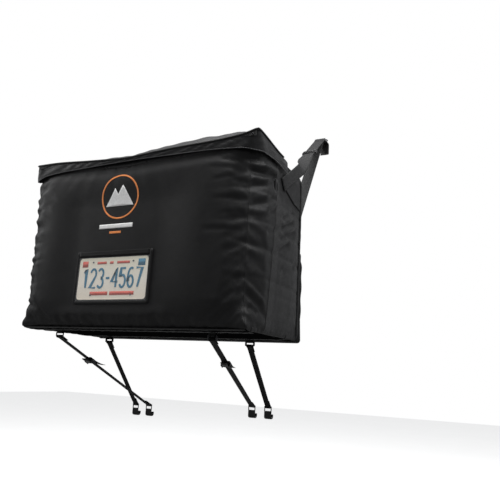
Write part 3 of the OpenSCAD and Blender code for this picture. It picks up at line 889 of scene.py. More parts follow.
def lean_corner(co):
    """Left front corner full at the top and thin lower down; both lower corners stay sharp."""
    x, y, z = co[:, 0], co[:, 1], co[:, 2]
    near = np.exp(-np.hypot(x + HALF_W, y - Y_FRONT) / 0.075)
    full = 0.012 * bump(z, 0.20, 0.10) - 0.009 * bump(z, -0.20, 0.07)
    top = 1 - smooth(0.250, 0.300, z)
    co[:, 0] -= 0.9 * full * near * top
    co[:, 1] -= 0.45 * full * near * top
    # the front turns under towards the bottom
    front = 1 - smooth(Y_FRONT + 0.01, Y_FRONT + 0.06, y)
    corner = smooth(0.0, 0.07, HALF_W - np.abs(x))
    co[:, 1] += 0.012 * front * corner * (1 - smooth(Z_BOTTOM, Z_BOTTOM + 0.11, z))


# The lid's front edge: place across the bag, and height over the flat edge
LID_EDGE = ((-0.490, -0.003), (-0.400, -0.003), (-0.350, -0.005), (-0.227, -0.014),
            (-0.120, -0.020), (-0.040, -0.023), (0.073, -0.015), (0.171, -0.010), (0.330, -0.006),
            (0.385, -0.002), (0.432, 0.002), (0.453, 0.006), (0.492, 0.018))


def edge_dip(x):
    """How far the lid's front edge stands above its flat height (below it where negative)."""
    x = np.asarray(x, float)
    return sum(read_off(LID_EDGE, x + d) for d in (-0.02, -0.01, 0, 0.01, 0.02)) / 5


def sag_rim(co):
    """The top of the front wall hangs a little in the middle, as the lid above it does."""
    front = 1 - smooth(Y_FRONT + 0.01, Y_FRONT + 0.05, co[:, 1])
    drop = np.minimum(0, edge_dip(co[:, 0])) - 0.003
    co[:, 2] += drop * front * smooth(0.10, Z_RIM, co[:, 2])


# ---------------------------------------------------------------- laying things on the cloth
def surface(obj):
    return BVHTree.FromPolygons([v.co.copy() for v in obj.data.vertices],
                                [tuple(p.vertices) for p in obj.data.polygons])


def touch(tree, origin, direction):
    return tree.ray_cast(Vector(origin), Vector(direction))[0]


def on_front(x, z, lift=0.0):
    hit = touch(SKIN, (x, Y_FRONT - 0.2, z), (0, 1, 0))
    return Vector((x, (hit.y if hit else Y_FRONT) - lift, z))


def on_side(sx, y, z, lift=0.0):
    hit = touch(SKIN, (sx * (HALF_W + 0.2), y, z), (-sx, 0, 0))
    return Vector(((hit.x if hit else sx * HALF_W) + sx * lift, y, z))


def on_bottom(x, y, lift=0.0):
    hit = touch(SKIN, (x, y, Z_BOTTOM - 0.2), (0, 0, 1))
    return Vector((x, y, (hit.z if hit else Z_BOTTOM) - lift))


def closed_sheet(name, outer, inner, material):
    """Solid between two equal grids of points."""
    m, n = len(outer), len(outer[0])
    k = m * n
    verts = [Vector(p) for rows in (outer, inner) for row in rows for p in row]
    faces = []
    for a in range(m - 1):
        for b in range(n - 1):
            q = (a * n + b, a * n + b + 1, (a + 1) * n + b + 1, (a + 1) * n + b)
            faces += [q, tuple(v + k for v in reversed(q))]
    rim = [b for b in range(n)] + [a * n + n - 1 for a in range(1, m)] \
        + [(m - 1) * n + b for b in range(n - 2, -1, -1)] + [a * n for a in range(m - 2, 0, -1)]
    faces += [(b, a, a + k, b + k) for a, b in zip(rim, rim[1:] + rim[:1])]
    obj = new_object(name, verts, faces, material)
    fix_normals(obj)
    return obj


def slab(name, rows, inward, thickness, material, level=0):
    """Thin closed sheet: rows of outer points, and the same rows moved inward."""
    push = Vector(inward) * thickness
    obj = closed_sheet(name, rows, [[p + push for p in row] for row in rows], material)
    if level:
        subdivide(obj, level)
    return obj


def stitches(name, paths, pitch=0.0055, length=0.0036, radius=0.00042):
    """Thread on a seam: one small spindle for each stitch, sunk halfway into the cloth."""
    verts, faces = [], []
    for path in paths:
        pts = [Vector(p) for p in path]
        dist = [0.0]
        for a, b in zip(pts, pts[1:]):
            dist.append(dist[-1] + (b - a).length)
        at, seg = pitch / 2, 0
        while at < dist[-1]:
            while dist[seg + 1] < at:
                seg += 1
            a, b = pts[seg], pts[seg + 1]
            t = (b - a).normalized()
            mid = a.lerp(b, (at - dist[seg]) / max(1e-9, dist[seg + 1] - dist[seg]))
            side = t.orthogonal().normalized()
            other = t.cross(side)
            base = len(verts)
            verts.append(mid - t * length / 2)
            for s, o in ((1, 0), (0, 1), (-1, 0), (0, -1)):
                verts.append(mid + (side * s + other * o) * radius)
            verts.append(mid + t * length / 2)
            for k in range(4):
                m = (k + 1) % 4
                faces.append((base, base + 1 + m, base + 1 + k))
                faces.append((base + 5, base + 1 + k, base + 1 + m))
            at += pitch
    return new_object(name, verts, faces, THREAD)


def keep(obj, body, slot, *nodes):
    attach(obj, body)
    if nodes:
        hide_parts(*nodes)
    return obj


add_camera()
add_studio()
SHELL, CORNERS = make_shell()
SKIN = surface(SHELL)


def add_shell():
    SHELL.data.materials.append(LINING)
    line_inside(SHELL, 0.0024)
    apply_modifiers(SHELL)
    # faces that look down near the bottom take the painted shade
    SHELL.data.materials.append(UNDERSIDE_PAINTED_SHADE)
    for face in SHELL.data.polygons:
        if face.material_index == 0 and face.normal.z < -0.75 and face.center.z < Z_BOTTOM + 0.04:
            face.material_index = 2
    keep(SHELL, "bag", "front_fabric", "front_panel", "side_panel_left", "side_panel_right",
         "bottom_panel", "back_panel")


# ---------------------------------------------------------------- seams along the bag's edges
def add_seams():
    """Narrow welts where the front meets the sides, piping round the rear, thread beside them."""
    welts = []
    threads = []
    for sx, column in CORNERS.items():
        out = Vector((sx, -1, 0)).normalized()
        proud = 0.0004 if sx < 0 else -0.0002
        line = [Vector(q) for q in spline([p + out * proud for p in column], 2)]
        welts.append(tube("welt", line, 0.0015 if sx < 0 else 0.0010, FABRIC, 8))
        if sx > 0:
            continue
        for shift in (Vector((-sx * 0.007, 0.0, 0)), Vector((0, 0.007, 0))):
            thread = []
            for p in column[::2]:
                q = p + shift
                if shift.x:
                    thread.append(on_front(q.x, q.z, 0.0002))
                else:
                    thread.append(on_side(sx, q.y, q.z, 0.0002))
            threads.append(thread)
    foot = [on_front(x, Z_BOTTOM + 0.006) for x in span(-HALF_W + 0.012, HALF_W - 0.012, 90)]
    welts.append(tube("welt", foot, 0.0018, FABRIC, 8))
    keep(join("front_seam_welt", welts), "bag", "piping", "front_piping")
    x, y = HALF_W - 0.001, Y_BACK - 0.004
    lo, hi = Z_BOTTOM + 0.004, Z_RIM + 0.001
    rng = random.Random(5)
    loop = []
    for a, b, n in (((-x, lo), (x, lo), 60), ((x, lo), (x, hi), 44), ((x, hi), (-x, hi), 60),
                    ((-x, hi), (-x, lo), 44)):
        for k in range(n):
            t = k / n
            ease = 0.012 * (bump(t, 0, 0.02) + bump(t, 1, 0.02))
            px, pz = a[0] + (b[0] - a[0]) * t, a[1] + (b[1] - a[1]) * t
            px -= math.copysign(ease * 0.5, px) * (abs(px) > x - 0.03)
            pz -= math.copysign(ease * 0.5, pz) * (abs(pz) > hi - 0.03)
            loop.append(Vector((px + rng.gauss(0, 0.0003), y, pz + rng.gauss(0, 0.0003))))
    keep(tube("rear_piping_cord", loop, 0.0045, PIPING, 12, closed=True), "bag", "piping",
         "rear_piping")
    keep(stitches("seam_thread", threads), "bag", "piping")


# ---------------------------------------------------------------- fixed rear strip of the top
DOME_RUN = 0.055                        # the top rises to its dome over this run
DOME = ((-0.475, 0.0), (-0.42, 0.012), (-0.30, 0.017), (-0.10, 0.024), (0.10, 0.036),
        (0.25, 0.042), (0.38, 0.040), (0.43, 0.028), (0.475, 0.0))   # across the bag, height


def top_z(x, y):
    """Upper face of the top: its front edge dips and peaks, and it domes up behind that edge."""
    x, y = np.asarray(x, float), np.asarray(y, float)
    edge = Y_FRONT - 0.0085
    back = np.maximum(0, y - edge)
    front = 1 - smooth(0, 0.215, back)
    rise = np.where(back < DOME_RUN, 1 - (1 - back / DOME_RUN) ** 2,
                    1 - 0.75 * smooth(DOME_RUN, 0.235, back))
    height = read_off(DOME, x)
    fixed = 1 - smooth(HINGE.y - 0.02, HINGE.y + 0.10, y)
    crown = height * rise * (0.25 + 0.75 * fixed)
    sides = smooth(0, 0.05, HALF_W - np.abs(x))
    ripple = 0.0016 * np.sin(x * 41 + 3 * np.sin(y * 17)) * np.sin(y * 29 + x * 7) \
        + 0.0012 * np.sin(x * 90 + y * 60 + 2 * np.sin(x * 15))
    return edge_dip(x) * front + (crown + ripple * smooth(0, 0.03, back)) * sides


def add_top_strip():
    y0, y1 = HINGE.y + 0.002, Y_BACK - 0.006
    rows = []
    for y in span(y1, y0, 20):
        row = []
        for x in span(-HALF_W + 0.003, HALF_W - 0.003, 84):
            edge = min(smooth(0, 0.03, HALF_W - abs(x)), smooth(0, 0.03, y1 - y + 0.002))
            row.append(Vector((x, y, Z_RIM + 0.0035 + float(edge) * float(top_z(x, y)) + 0.0010)))
        rows.append(row)
    keep(slab("top_rear_cloth", rows, (0, 0, -1), 0.0052, FABRIC, 1), "bag", "side_fabric",
         "top_rear_panel")


# ---------------------------------------------------------------- lid
SKIRT_LO, SKIRT_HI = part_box("lid_skirt")
LID_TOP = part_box("lid_panel")[1].z
SKIRT_X = SKIRT_HI.x - 0.0005
SKIRT_Y = SKIRT_LO.y + 0.0005
FOLD_BACK = HINGE.y + 0.018              # the lid's cloth is sewn to the fixed strip back here


# Lower edge of the skirt, as place and height: along the front it droops at both corners
HEM_FRONT = ((-0.492, 0.256), (-0.470, 0.268), (-0.445, 0.278), (-0.40, 0.284), (-0.34, 0.288),
             (-0.24, 0.291), (-0.15, 0.294), (0.0, 0.297), (0.24, 0.2955), (0.31, 0.294),
             (0.37, 0.291), (0.42, 0.287), (0.46, 0.283), (0.492, 0.280))
HEM_SIDE = ((-0.42, 0.286), (-0.35, 0.292), (-0.29, 0.290), (-0.24, 0.284))
HEM_CORNER = {-1: 0.256, 1: 0.280}


def hem_side(y, sx):
    return read_off(((-0.499, HEM_CORNER[sx]),) + HEM_SIDE, y)


NX, NY, NK = 96, 30, 9                  # the lid's cells across, fold to front, down the skirt
LID_XS = span(-SKIRT_X, SKIRT_X, NX + 1)
LID_YS = span(FOLD_BACK, SKIRT_Y, NY + 1)


def lid_point(i, j, k):
    """Point of the lid's cloth; k counts down the skirt, and is 0 on the top."""
    x, y = LID_XS[i], LID_YS[j]
    # behind the fold the cloth comes down onto the fixed strip
    z = LID_TOP + float(top_z(x, y)) - 0.0034 * float(smooth(HINGE.y, FOLD_BACK, y))
    if k:
        t = k / NK
        low = float(read_off(HEM_FRONT, x) if j == NY else hem_side(y, -1 if x < 0 else 1))
        belly = math.sin(math.pi * t)
        wave = 0.0014 * belly * math.sin(x * 95 + y * 66 + 6 * t + 2 * math.sin(x * 23))
        wave += 0.0010 * belly * math.sin(x * 160 - 9 * t)
        z += (low - z) * t
        if j == NY:
            y -= wave + 0.0012 * belly
        if i in (0, NX):
            x += math.copysign(abs(wave) + 0.0015 * belly, x)
    # the skirt turns softly at both front corners, more so towards its lower edge
    for sx in (-1, 1):
        r = 0.005 + (0.060 if sx > 0 else 0.008) * (k / NK) ** 0.7
        dx, dy = sx * x - (SKIRT_X - r), (SKIRT_Y + r) - y
        if dx > 0 and dy > 0:
            s = max(dx, dy) / math.hypot(dx, dy)
            x, y = sx * (SKIRT_X - r + dx * s), SKIRT_Y + r - dy * s
    return Vector((x, y, z))


def add_lid():
    index, verts, faces = {}, [], []

    def at(*key):
        if key not in index:
            index[key] = len(verts)
            verts.append(lid_point(*key))
        return index[key]

    for i in range(NX):
        for j in range(NY):
            faces.append((at(i, j, 0), at(i, j + 1, 0), at(i + 1, j + 1, 0), at(i + 1, j, 0)))
        for k in range(NK):
            faces.append((at(i, NY, k), at(i, NY, k + 1), at(i + 1, NY, k + 1), at(i + 1, NY, k)))
    for j in range(NY):
        for k in range(NK):
            for i in (0, NX):
                faces.append((at(i, j, k), at(i, j + 1, k), at(i, j + 1, k + 1), at(i, j, k + 1)))
    # the lid takes the fabric painted lighter, as painted light on the lid
    cover = new_object("lid_cloth", verts, faces, FABRIC_LID_PAINTED_LIGHT)
    fix_normals(cover)
    up = sum(p.normal.z for p in cover.data.polygons if abs(p.normal.z) > 0.8)
    if up < 0:
        cover.data.flip_normals()
    cover.data.materials.append(LINING)
    line_inside(cover, 0.0019)
    subdivide(cover, 1)
    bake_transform(cover)
    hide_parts("lid_panel", "lid_skirt")


def add_lid_trim():
    """Piping round the skirt's lower edge, painted light as a highlight; the bound edge of the top;
    and thread.
    """
    line = [lid_point(0, j, NK) for j in range(NY - 1)]
    line += [lid_point(i, NY, NK) for i in range(1, NX)]
    line += [lid_point(NX, j, NK) for j in range(NY - 2, -1, -1)]
    cord = tube("lid_hem_piping", line, 0.0017, PIPING_PAINTED_HIGHLIGHT, 8)
    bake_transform(cord)

    first = next(j for j in range(NY) if LID_YS[j] < HINGE.y - 0.024)
    rim = [lid_point(0, j, 0) for j in range(first, NY)]
    rim += [lid_point(i, NY, 0) for i in range(NX + 1)]
    rim += [lid_point(NX, j, 0) for j in range(NY - 1, first - 1, -1)]
    bead = []
    for p in rim:
        d = Vector((math.copysign(1, p.x) if abs(p.x) > SKIRT_X - 0.01 else 0,
                    -1 if p.y < SKIRT_Y + 0.01 else 0, 0.9)).normalized()
        bead.append(p + d * 0.0012 - Vector((0, 0, 0.0012)))
    keep(tube("lid_edge_binding", bead, 0.0036, BINDING, 10), "lid", "binding", "lid_binding")

    threads = []
    for drop in (0.006, 0.0085):
        row = [lid_point(0, j, NK) + Vector((-0.0004, 0, drop)) for j in range(first, NY - 1)]
        threads += [row, [Vector((-p.x, p.y, p.z)) for p in row]]
        row = []
        for i in range(2, NX - 1):
            p, q = lid_point(i, NY, NK), lid_point(i, NY, NK - 2)
            row.append(p.lerp(q, drop / max(0.001, (q - p).length)) - Vector((0, 0.0004, 0)))
        threads.append(row)
    keep(stitches("lid_thread", threads), "lid", "side_fabric")


def add_lid_corners():
    """Triangular patches over the front corners and down the skirt, with metal eyelets."""
    patches, eyes = [], []
    for sx in (-1, 1):
        leg = 0.088
        rows = []
        for a in span(0, 1, 12):
            row = []
            for b in span(0, 1, 12):
                u, v = a, b * (1 - a)
                x = sx * (SKIRT_X - 0.004 - leg * u)
                y = SKIRT_Y + 0.004 + leg * v
                row.append(Vector((x, y, LID_TOP + float(top_z(x, y)) + 0.0013)))
            rows.append(row)
        patches.append(slab("patch", rows, (0, 0, -1), 0.0011, BINDING))
        # folded down over the skirt's corner
        rows = []
        for a in span(0, 1, 10):
            row = []
            for b in span(0, 1, 8):
                x = sx * (SKIRT_X - 0.006 - 0.062 * a)
                z0 = LID_TOP + float(edge_dip(x)) - 0.003
                row.append(Vector((x, SKIRT_Y - 0.0020, z0 - 0.024 * b * (1 - a))))
            rows.append(row)
        patches.append(slab("patch", rows, (0, 1, 0), 0.0010, BINDING))
        ex, ey = sx * (SKIRT_X - 0.024), SKIRT_Y + 0.024
        eyes.append(eyelet((ex, ey, LID_TOP + float(top_z(ex, ey)) + 0.0016), (0, 0, 1)))
        ex = sx * (SKIRT_X - 0.020)
        eyes.append(eyelet((ex, SKIRT_Y - 0.0022, LID_TOP + float(edge_dip(ex)) - 0.014),
                           (0, -1, 0), 0.0048))
    keep(join("lid_corner_cloth", patches), "lid", "binding", "lid_corner_patches")
    keep(join("lid_eyelet_rings", eyes), "lid", "steel", "lid_eyelets")


def eyelet(centre, normal, outer=0.008):
    m = frame_at(centre, normal, (1, 0, 0))
    inner = outer * 0.5
    verts = []
    around, prof = 32, [(outer, 0.0), (outer * 0.94, 0.0010), (outer * 0.75, 0.0015),
                        (inner * 1.12, 0.0011), (inner, 0.0), (inner, -0.0012), (outer, -0.0006)]
    for a in circle(around):
        for r, h in prof:
            verts.append(m @ Vector((r * math.cos(a), r * math.sin(a), h)))
    obj = new_object("eyelet", verts, loft_faces(around, len(prof), closed=True), DARK_STEEL)
    fix_normals(obj)
    return obj


# ---------------------------------------------------------------- reinforcement and zip
WING_LOWER = ((-0.236, 0.232), (-0.130, 0.197), (-0.056, 0.188))    # y and z along each edge
WING_UPPER = ((-0.236, 0.233), (-0.150, 0.297), (-0.056, 0.297))


def add_reinforcement():
    threads = []
    for side, sx in SIDES.items():
        lo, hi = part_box("side_webbing_" + side)
        half = 0.026
        y_low, y_high = lo.y + half, hi.y - half
        rows = []
        for t in span(0, 1, 60):
            z = lo.z + 0.004 + (hi.z - lo.z - 0.004) * t
            mid = y_low + (y_high - y_low) * t
            rows.append([on_side(sx, mid + half * s, z, 0.0012) for s in span(-1, 1, 9)])
        keep(slab("side_web_" + side, rows, (-sx, 0, 0), 0.0012, SIDE_WEB, 1), "bag", "webbing",
             "side_webbing_" + side)
        for s in (-0.86, 0.86):
            threads.append([on_side(sx, y_low + (y_high - y_low) * t + half * s,
                                    lo.z + 0.006 + (hi.z - lo.z - 0.008) * t, 0.0014)
                            for t in span(0, 1, 70)])
        lo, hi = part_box("corner_wing_" + side)
        rows, trim = [], []
        for y in span(lo.y + 0.001, hi.y, 34):
            a, b = float(read_off(WING_LOWER, y)), float(read_off(WING_UPPER, y))
            rows.append([on_side(sx, y, a + (b - a) * t, 0.0010) for t in span(0, 1, 22)])
            trim.append(on_side(sx, y, a, 0.0013))
        keep(slab("corner_wing_cloth_" + side, rows, (-sx, 0, 0), 0.0016, FABRIC, 1), "bag",
             "side_fabric", "corner_wing_" + side)
        keep(tube("corner_wing_trim_" + side, trim, 0.0024, BINDING, 8), "bag", "binding")
    for name in ("front", "rear"):
        lo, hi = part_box("base_webbing_" + name)
        mid, half = (lo.y + hi.y) / 2, (hi.y - lo.y) / 2
        ys = [mid + half * s for s in span(-1, 1, 7)]
        rows = [[on_side(-1, y, z, 0.0012) for y in ys] for z in span(hi.z, Z_BOTTOM + 0.004, 4)]
        rows += [[on_bottom(x, y, 0.0012) for y in ys]
                 for x in span(-HALF_W + 0.002, HALF_W - 0.002, 100)]
        rows += [[on_side(1, y, z, 0.0012) for y in ys] for z in span(Z_BOTTOM + 0.004, hi.z, 4)]
        web = slab("base_web_" + name, rows, (0, 0, 1), 0.0018, WEBBING)
        keep(web, "bag", "webbing", "base_webbing_" + name)
    keep(stitches("webbing_thread", threads), "bag", "webbing")


def corner(sx, steps, z, path, out):
    """Carries the zip's path round a front corner, laid on the cloth."""
    mid = Vector((sx * (HALF_W - 0.085), Y_FRONT + 0.085, z))
    for k in steps:
        a = math.pi / 2 * k / 10
        d = Vector((sx * math.cos(a), -math.sin(a), 0))
        hit = touch(SKIN, mid + d * 0.4, -d)
        path.append((hit or mid + d * 0.085) + d * 0.0004)
        out.append(d)


PULL_CORD = 0.066                       # length of the cord between the slider and its tag


def add_zip():
    lo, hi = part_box("zipper_tape")
    z = (lo.z + hi.z) / 2
    path, out = [], []
    for y in span(hi.y, Y_FRONT + 0.050, 26):
        path.append(on_side(-1, y, z, 0.0004))
        out.append(Vector((-1, 0, 0)))
    corner(-1, range(1, 10), z, path, out)
    for x in span(-HALF_W + 0.050, HALF_W - 0.095, 90):
        path.append(on_front(x, z + min(0.0, float(edge_dip(x))), 0.0004))
        out.append(Vector((0, -1, 0)))
    corner(1, range(9, 0, -1), z, path, out)
    for y in span(Y_FRONT + 0.095, hi.y, 26):
        path.append(on_side(1, y, z, 0.0004))
        out.append(Vector((1, 0, 0)))
    half = (hi.z - lo.z) / 2
    verts_rows = [[p + Vector((0, 0, half * s)) + d * 0.0006 for s in (-1, -0.5, -0.1, 0.1, 0.5, 1)]
                  for p, d in zip(path, out)]
    tape = slab("zip_cloth", verts_rows, (0, 0, 0), 0.0, ZIP)
    bm = bmesh.new()
    bm.from_mesh(tape.data)
    bmesh.ops.remove_doubles(bm, verts=bm.verts, dist=1e-6)
    bm.to_mesh(tape.data)
    bm.free()
    dense = []
    for (a, da), (b, db) in zip(zip(path, out), list(zip(path, out))[1:]):
        n = max(1, int((b - a).length / 0.0013))
        for k in range(n):
            dense.append((a.lerp(b, k / n), da.lerp(db, k / n).normalized()))
    verts = []
    for n, (p, d) in enumerate(dense):
        r = 0.0021 if n % 2 else 0.0014
        for a in circle(6):
            verts.append(p + d * (0.0011 + 0.6 * r * math.cos(a)) + Vector((0, 0, r * math.sin(a))))
    coil = new_object("coil", verts, loft_faces(len(dense), 6, caps=False), PLASTIC)
    fix_normals(coil)
    keep(join("zip_tape_and_coil", [tape, coil]), "bag", "zip_tape", "zipper_tape")


def add_zip_sliders():
    for side, sx in SIDES.items():
        lo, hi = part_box("zip_slider_" + side)
        c = (lo + hi) / 2
        body = block("body", (0.0016, 0.0155, 0.0105), Matrix.Translation(
            (sx * 0.4830, c.y, c.z)), STEEL, 0.0006, 3)
        pin = tube("pin", [(sx * 0.4832, c.y, c.z), (sx * 0.4870, c.y, c.z)], 0.00145, STEEL, 16)
        cap = tube("cap", [(sx * x, c.y, c.z) for x in (0.4870, 0.4873, 0.4877)], 0.0028, STEEL, 20)
        keep(join("zip_car_" + side, [body, pin, cap]), "zip_slider_" + side, "steel",
             "zip_slider_" + side)
        lo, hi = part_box("zip_pull_" + side)
        c = Vector((sx * 0.48535, (lo.y + hi.y) / 2, 0))
        top = JOINTS["zip_pull_swing_" + side]["pos_m"][2]
        ring = tube("ring", arc_yz(Vector((c.x, c.y, top)), 0.0024, circle(24)), 0.0008, STEEL, 8,
                    closed=True)
        line = [Vector((c.x, c.y + 0.0012 * math.sin(a * 5), top - 0.003 - PULL_CORD * a))
                for a in span(0, 1, 30)]
        cord = tube("cord", line, 0.0011, BINDING, 8)
        tab_z = lo.z + 0.026
        tab = block("tab", (0.0028, 0.0175, 0.050), Matrix.Translation((c.x, c.y, tab_z)), PLASTIC,
                    0.0012, 3)
        ribs = [block("rib", (0.0032, 0.0125, 0.0018), Matrix.Translation((c.x, c.y, tab_z + h)),
                      PLASTIC, 0.0005, 2) for h in span(-0.016, 0.012, 6)]
        keep(join("zip_tag_" + side, [ring, cord, tab] + ribs), "zip_pull_" + side, "black_plastic",
             "zip_pull_" + side)


# ---------------------------------------------------------------- plate pocket, plate and badge
def rounded(cx, cz, w, h, r, per=8):
    """Points round a rounded rectangle, counter-clockwise from its right side."""
    pts = []
    for sx, sz, a0 in ((1, 1, 0), (-1, 1, 90), (-1, -1, 180), (1, -1, 270)):
        for k in range(per + 1):
            a = math.radians(a0 + 90 * k / per)
            pts.append((cx + sx * (w / 2 - r) + r * math.cos(a),
                        cz + sz * (h / 2 - r) + r * math.sin(a)))
    return pts


def add_pocket():
    lo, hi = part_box("plate_pocket")
    cx, half, bottom, top = (lo.x + hi.x) / 2, (hi.x - lo.x) / 2, lo.z, hi.z
    rim = r = 0.012                     # the border's width, and its corners' radius
    # border on the two sides and the bottom: a flattened, padded band with a raised middle
    n_round = 10
    outline = []
    for z in span(top, bottom + r, 20):
        outline.append((cx + half, z, (1, 0)))
    for k in range(1, n_round):
        a = math.pi / 2 * k / n_round
        outline.append((cx + half - r + r * math.cos(a), bottom + r - r * math.sin(a),
                        (math.cos(a), -math.sin(a))))
    for x in span(cx + half - r, cx - half + r, 40):
        outline.append((x, bottom, (0, -1)))
    for k in range(1, n_round):
        a = math.pi / 2 * k / n_round
        outline.append((cx - half + r - r * math.sin(a), bottom + r - r * math.cos(a),
                        (-math.sin(a), -math.cos(a))))
    for z in span(bottom + r, top, 20):
        outline.append((cx - half, z, (-1, 0)))
    prof = [(0.0, 0.0002), (0.0006, 0.0030), (0.0022, 0.0044), (0.0058, 0.0049), (0.0096, 0.0044),
            (0.0114, 0.0032), (0.0120, 0.0002)]
    verts = [Vector((x - ox * d, Y_FRONT - lift, z - oz * d))
             for x, z, (ox, oz) in outline for d, lift in prof]
    band = new_object("band", verts, loft_faces(len(outline), len(prof)), POCKET)
    fix_normals(band)
    # strip across the top edge, bound with webbing; the plate slides up behind it
    top_mid = hi.z - 0.008
    strip_xs = span(cx - half + rim, cx + half - rim, 40)
    rows = [[Vector((x, Y_FRONT - 0.0050 + 0.0002 * math.sin(x * 40), top_mid + 0.008 * s))
             for s in (-1, -0.8, 0, 0.8, 1)] for x in strip_xs]
    strip = slab("strip", rows, (0, 1, 0), 0.0010, POCKET)
    keep(join("pocket_border", [band, strip]), "bag", "front_fabric", "plate_pocket")
    threads = [[Vector((x - ox * inset, Y_FRONT - lift, z - oz * inset))
                for x, z, (ox, oz) in outline] for inset, lift in ((0.0030, 0.0047), (0.0092, 0.0045))]
    threads += [[Vector((x, Y_FRONT - 0.0052, top_mid + s)) for x in strip_xs]
                for s in (-0.005, 0.005)]
    keep(stitches("pocket_thread", threads), "bag", "front_fabric")


def add_window():
    lo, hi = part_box("pocket_window")
    rows = []
    for z in span(lo.z + 0.0005, hi.z - 0.0005, 26):
        row = []
        for x in span(lo.x + 0.0005, hi.x - 0.0005, 44):
            wave = 0.00022 * math.sin(x * 33 + 2 * math.sin(z * 25)) * math.sin(z * 31)
            row.append(Vector((x, lo.y + 0.0003 + wave, z)))
        rows.append(row)
    keep(slab("clear_window", rows, (0, 1, 0), 0.0004, VINYL), "bag", "clear_vinyl",
         "pocket_window")


def rounded_sheet(name, lo, hi, radius, material, levels):
    """Flat sheet with round corners, built up through levels, each an inset and a depth y."""
    cx, cz, w, h = (lo.x + hi.x) / 2, (lo.z + hi.z) / 2, hi.x - lo.x, hi.z - lo.z
    rings = [[Vector((x, y, z)) for x, z in rounded(cx, cz, w - 2 * d, h - 2 * d, radius - d)]
             for d, y in levels]
    verts = [p for ring in rings for p in ring]
    obj = new_object(name, verts, loft_faces(len(rings), len(rings[0])), material, False)
    fix_normals(obj)
    return obj


def add_plate():
    lo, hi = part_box("number_plate")
    cx, cz, h = (lo.x + hi.x) / 2, (lo.z + hi.z) / 2, hi.z - lo.z
    parts = [rounded_sheet("plate", lo, hi, 0.012, PLATE, (
        (0.0, hi.y), (0.0, lo.y + 0.0003), (0.0006, lo.y), (0.0020, lo.y),
        (0.0030, lo.y + 0.0004)))]
    # the fixing holes show the dark cloth behind
    for sx in (-1, 1):
        for sz in (-1, 1):
            c = Vector((cx + sx * 0.0889, lo.y - 0.0001, cz + sz * (h / 2 - 0.016)))
            ring = [c + Vector((0.0038 * math.cos(a), 0, 0.0030 * math.sin(a))) for a in circle(20)]
            parts.append(tube("hole", ring, 0.0004, STEEL, 6, closed=True))
            parts.append(new_object("hole", ring, [tuple(range(20))], HOLE, False))
    # embossed generic numerals, and plain printed bars where a plate has its small rows
    gap = 0.0062
    glyphs = [1, 2, 3, None, 4, 5, 6, 7]
    widths = [0.0285 if g is not None else 0.022 for g in glyphs]
    x = cx - (sum(widths) + gap * (len(glyphs) - 1)) / 2
    for g, gw in zip(glyphs, widths):
        for stroke in numeral(g):
            pts = [Vector((x + gw * u, lo.y + 0.0001, cz + 0.001 + 0.068 * (v - 0.5)))
                   for u, v in stroke]
            parts.append(ribbon(pts, 0.0084, 0.0005, INK_BLUE))
        x += gw + gap
    bars = [(-0.050, 0.057, 0.042, 0.009, INK_RED), (-0.006, 0.057, 0.016, 0.009, INK_RED),
            (0.046, 0.057, 0.056, 0.009, INK_RED), (-0.052, -0.054, 0.080, 0.013, INK_RED),
            (0.050, -0.054, 0.106, 0.013, INK_RED), (-0.126, 0.054, 0.026, 0.022, INK_RED),
            (0.126, 0.055, 0.030, 0.024, INK_BLUE)]
    for bx, bz, width, height, mat in bars:         # middle, size and ink of each bar
        rows = [[Vector((cx + bx + width / 2 * u, lo.y - 0.0001, cz + bz + height / 2 * v))
                 for v in (-1, 1)] for u in span(-1, 1, 8)]
        parts.append(slab("bar", rows, (0, 1, 0), 0.0004, mat))
    keep(join("plate_sheet", parts), "number_plate", "plate_metal", "number_plate")


def numeral(g):
    """Plain stroke numerals on a unit cell, as open polylines."""
    def arc(cx, cy, rx, ry, a0, a1, n=14):
        return [(cx + rx * math.cos(math.radians(a)), cy + ry * math.sin(math.radians(a)))
                for a in span(a0, a1, n)]
    shapes = {
        None: [[(0.15, 0.5), (0.85, 0.5)]],
        1: [[(0.2, 0.80), (0.55, 1.0), (0.55, 0.0)]],
        2: [arc(0.5, 0.74, 0.42, 0.26, 165, -30) + [(0.08, 0.0), (0.95, 0.0)]],
        3: [arc(0.46, 0.75, 0.40, 0.25, 150, -80) + arc(0.46, 0.26, 0.44, 0.26, 80, -150)],
        4: [[(0.72, 0.0), (0.72, 1.0), (0.05, 0.30), (0.98, 0.30)]],
        5: [[(0.88, 1.0), (0.18, 1.0), (0.12, 0.56)] + arc(0.48, 0.32, 0.42, 0.32, 120, -150)],
        6: [arc(0.55, 0.62, 0.45, 0.38, 60, 180) + arc(0.5, 0.30, 0.40, 0.30, 180, -180)],
        7: [[(0.05, 1.0), (0.92, 1.0), (0.38, 0.0)]],
    }
    return shapes[g]


def ribbon(points, width, height, material):
    """Raised stroke with slanted edges, facing the front."""
    verts, faces = [], []
    n = len(points)
    for i, p in enumerate(points):
        a = points[max(0, i - 1)]
        b = points[min(n - 1, i + 1)]
        t = (b - a).normalized()
        s = Vector((t.z, 0, -t.x))
        before = (p - a).normalized() if i else t
        after = (b - p).normalized() if i < n - 1 else t
        grow = 1 / max(0.55, math.sqrt(max(0.0, (1 + before.dot(after)) / 2)))
        for off, lift in ((-0.5, 0.0), (-0.38, 1.0), (0.38, 1.0), (0.5, 0.0)):
            verts.append(p + s * off * width * grow - Vector((0, height * lift, 0)))
    for i in range(n - 1):
        for k in range(3):
            faces.append((i * 4 + k, i * 4 + k + 1, (i + 1) * 4 + k + 1, (i + 1) * 4 + k))
        faces.append((i * 4 + 3, i * 4, (i + 1) * 4, (i + 1) * 4 + 3))
    faces.append((0, 3, 2, 1))
    faces.append(tuple((n - 1) * 4 + k for k in (0, 1, 2, 3)))
    obj = new_object("stroke", verts, faces, material, False)
    fix_normals(obj)
    return obj


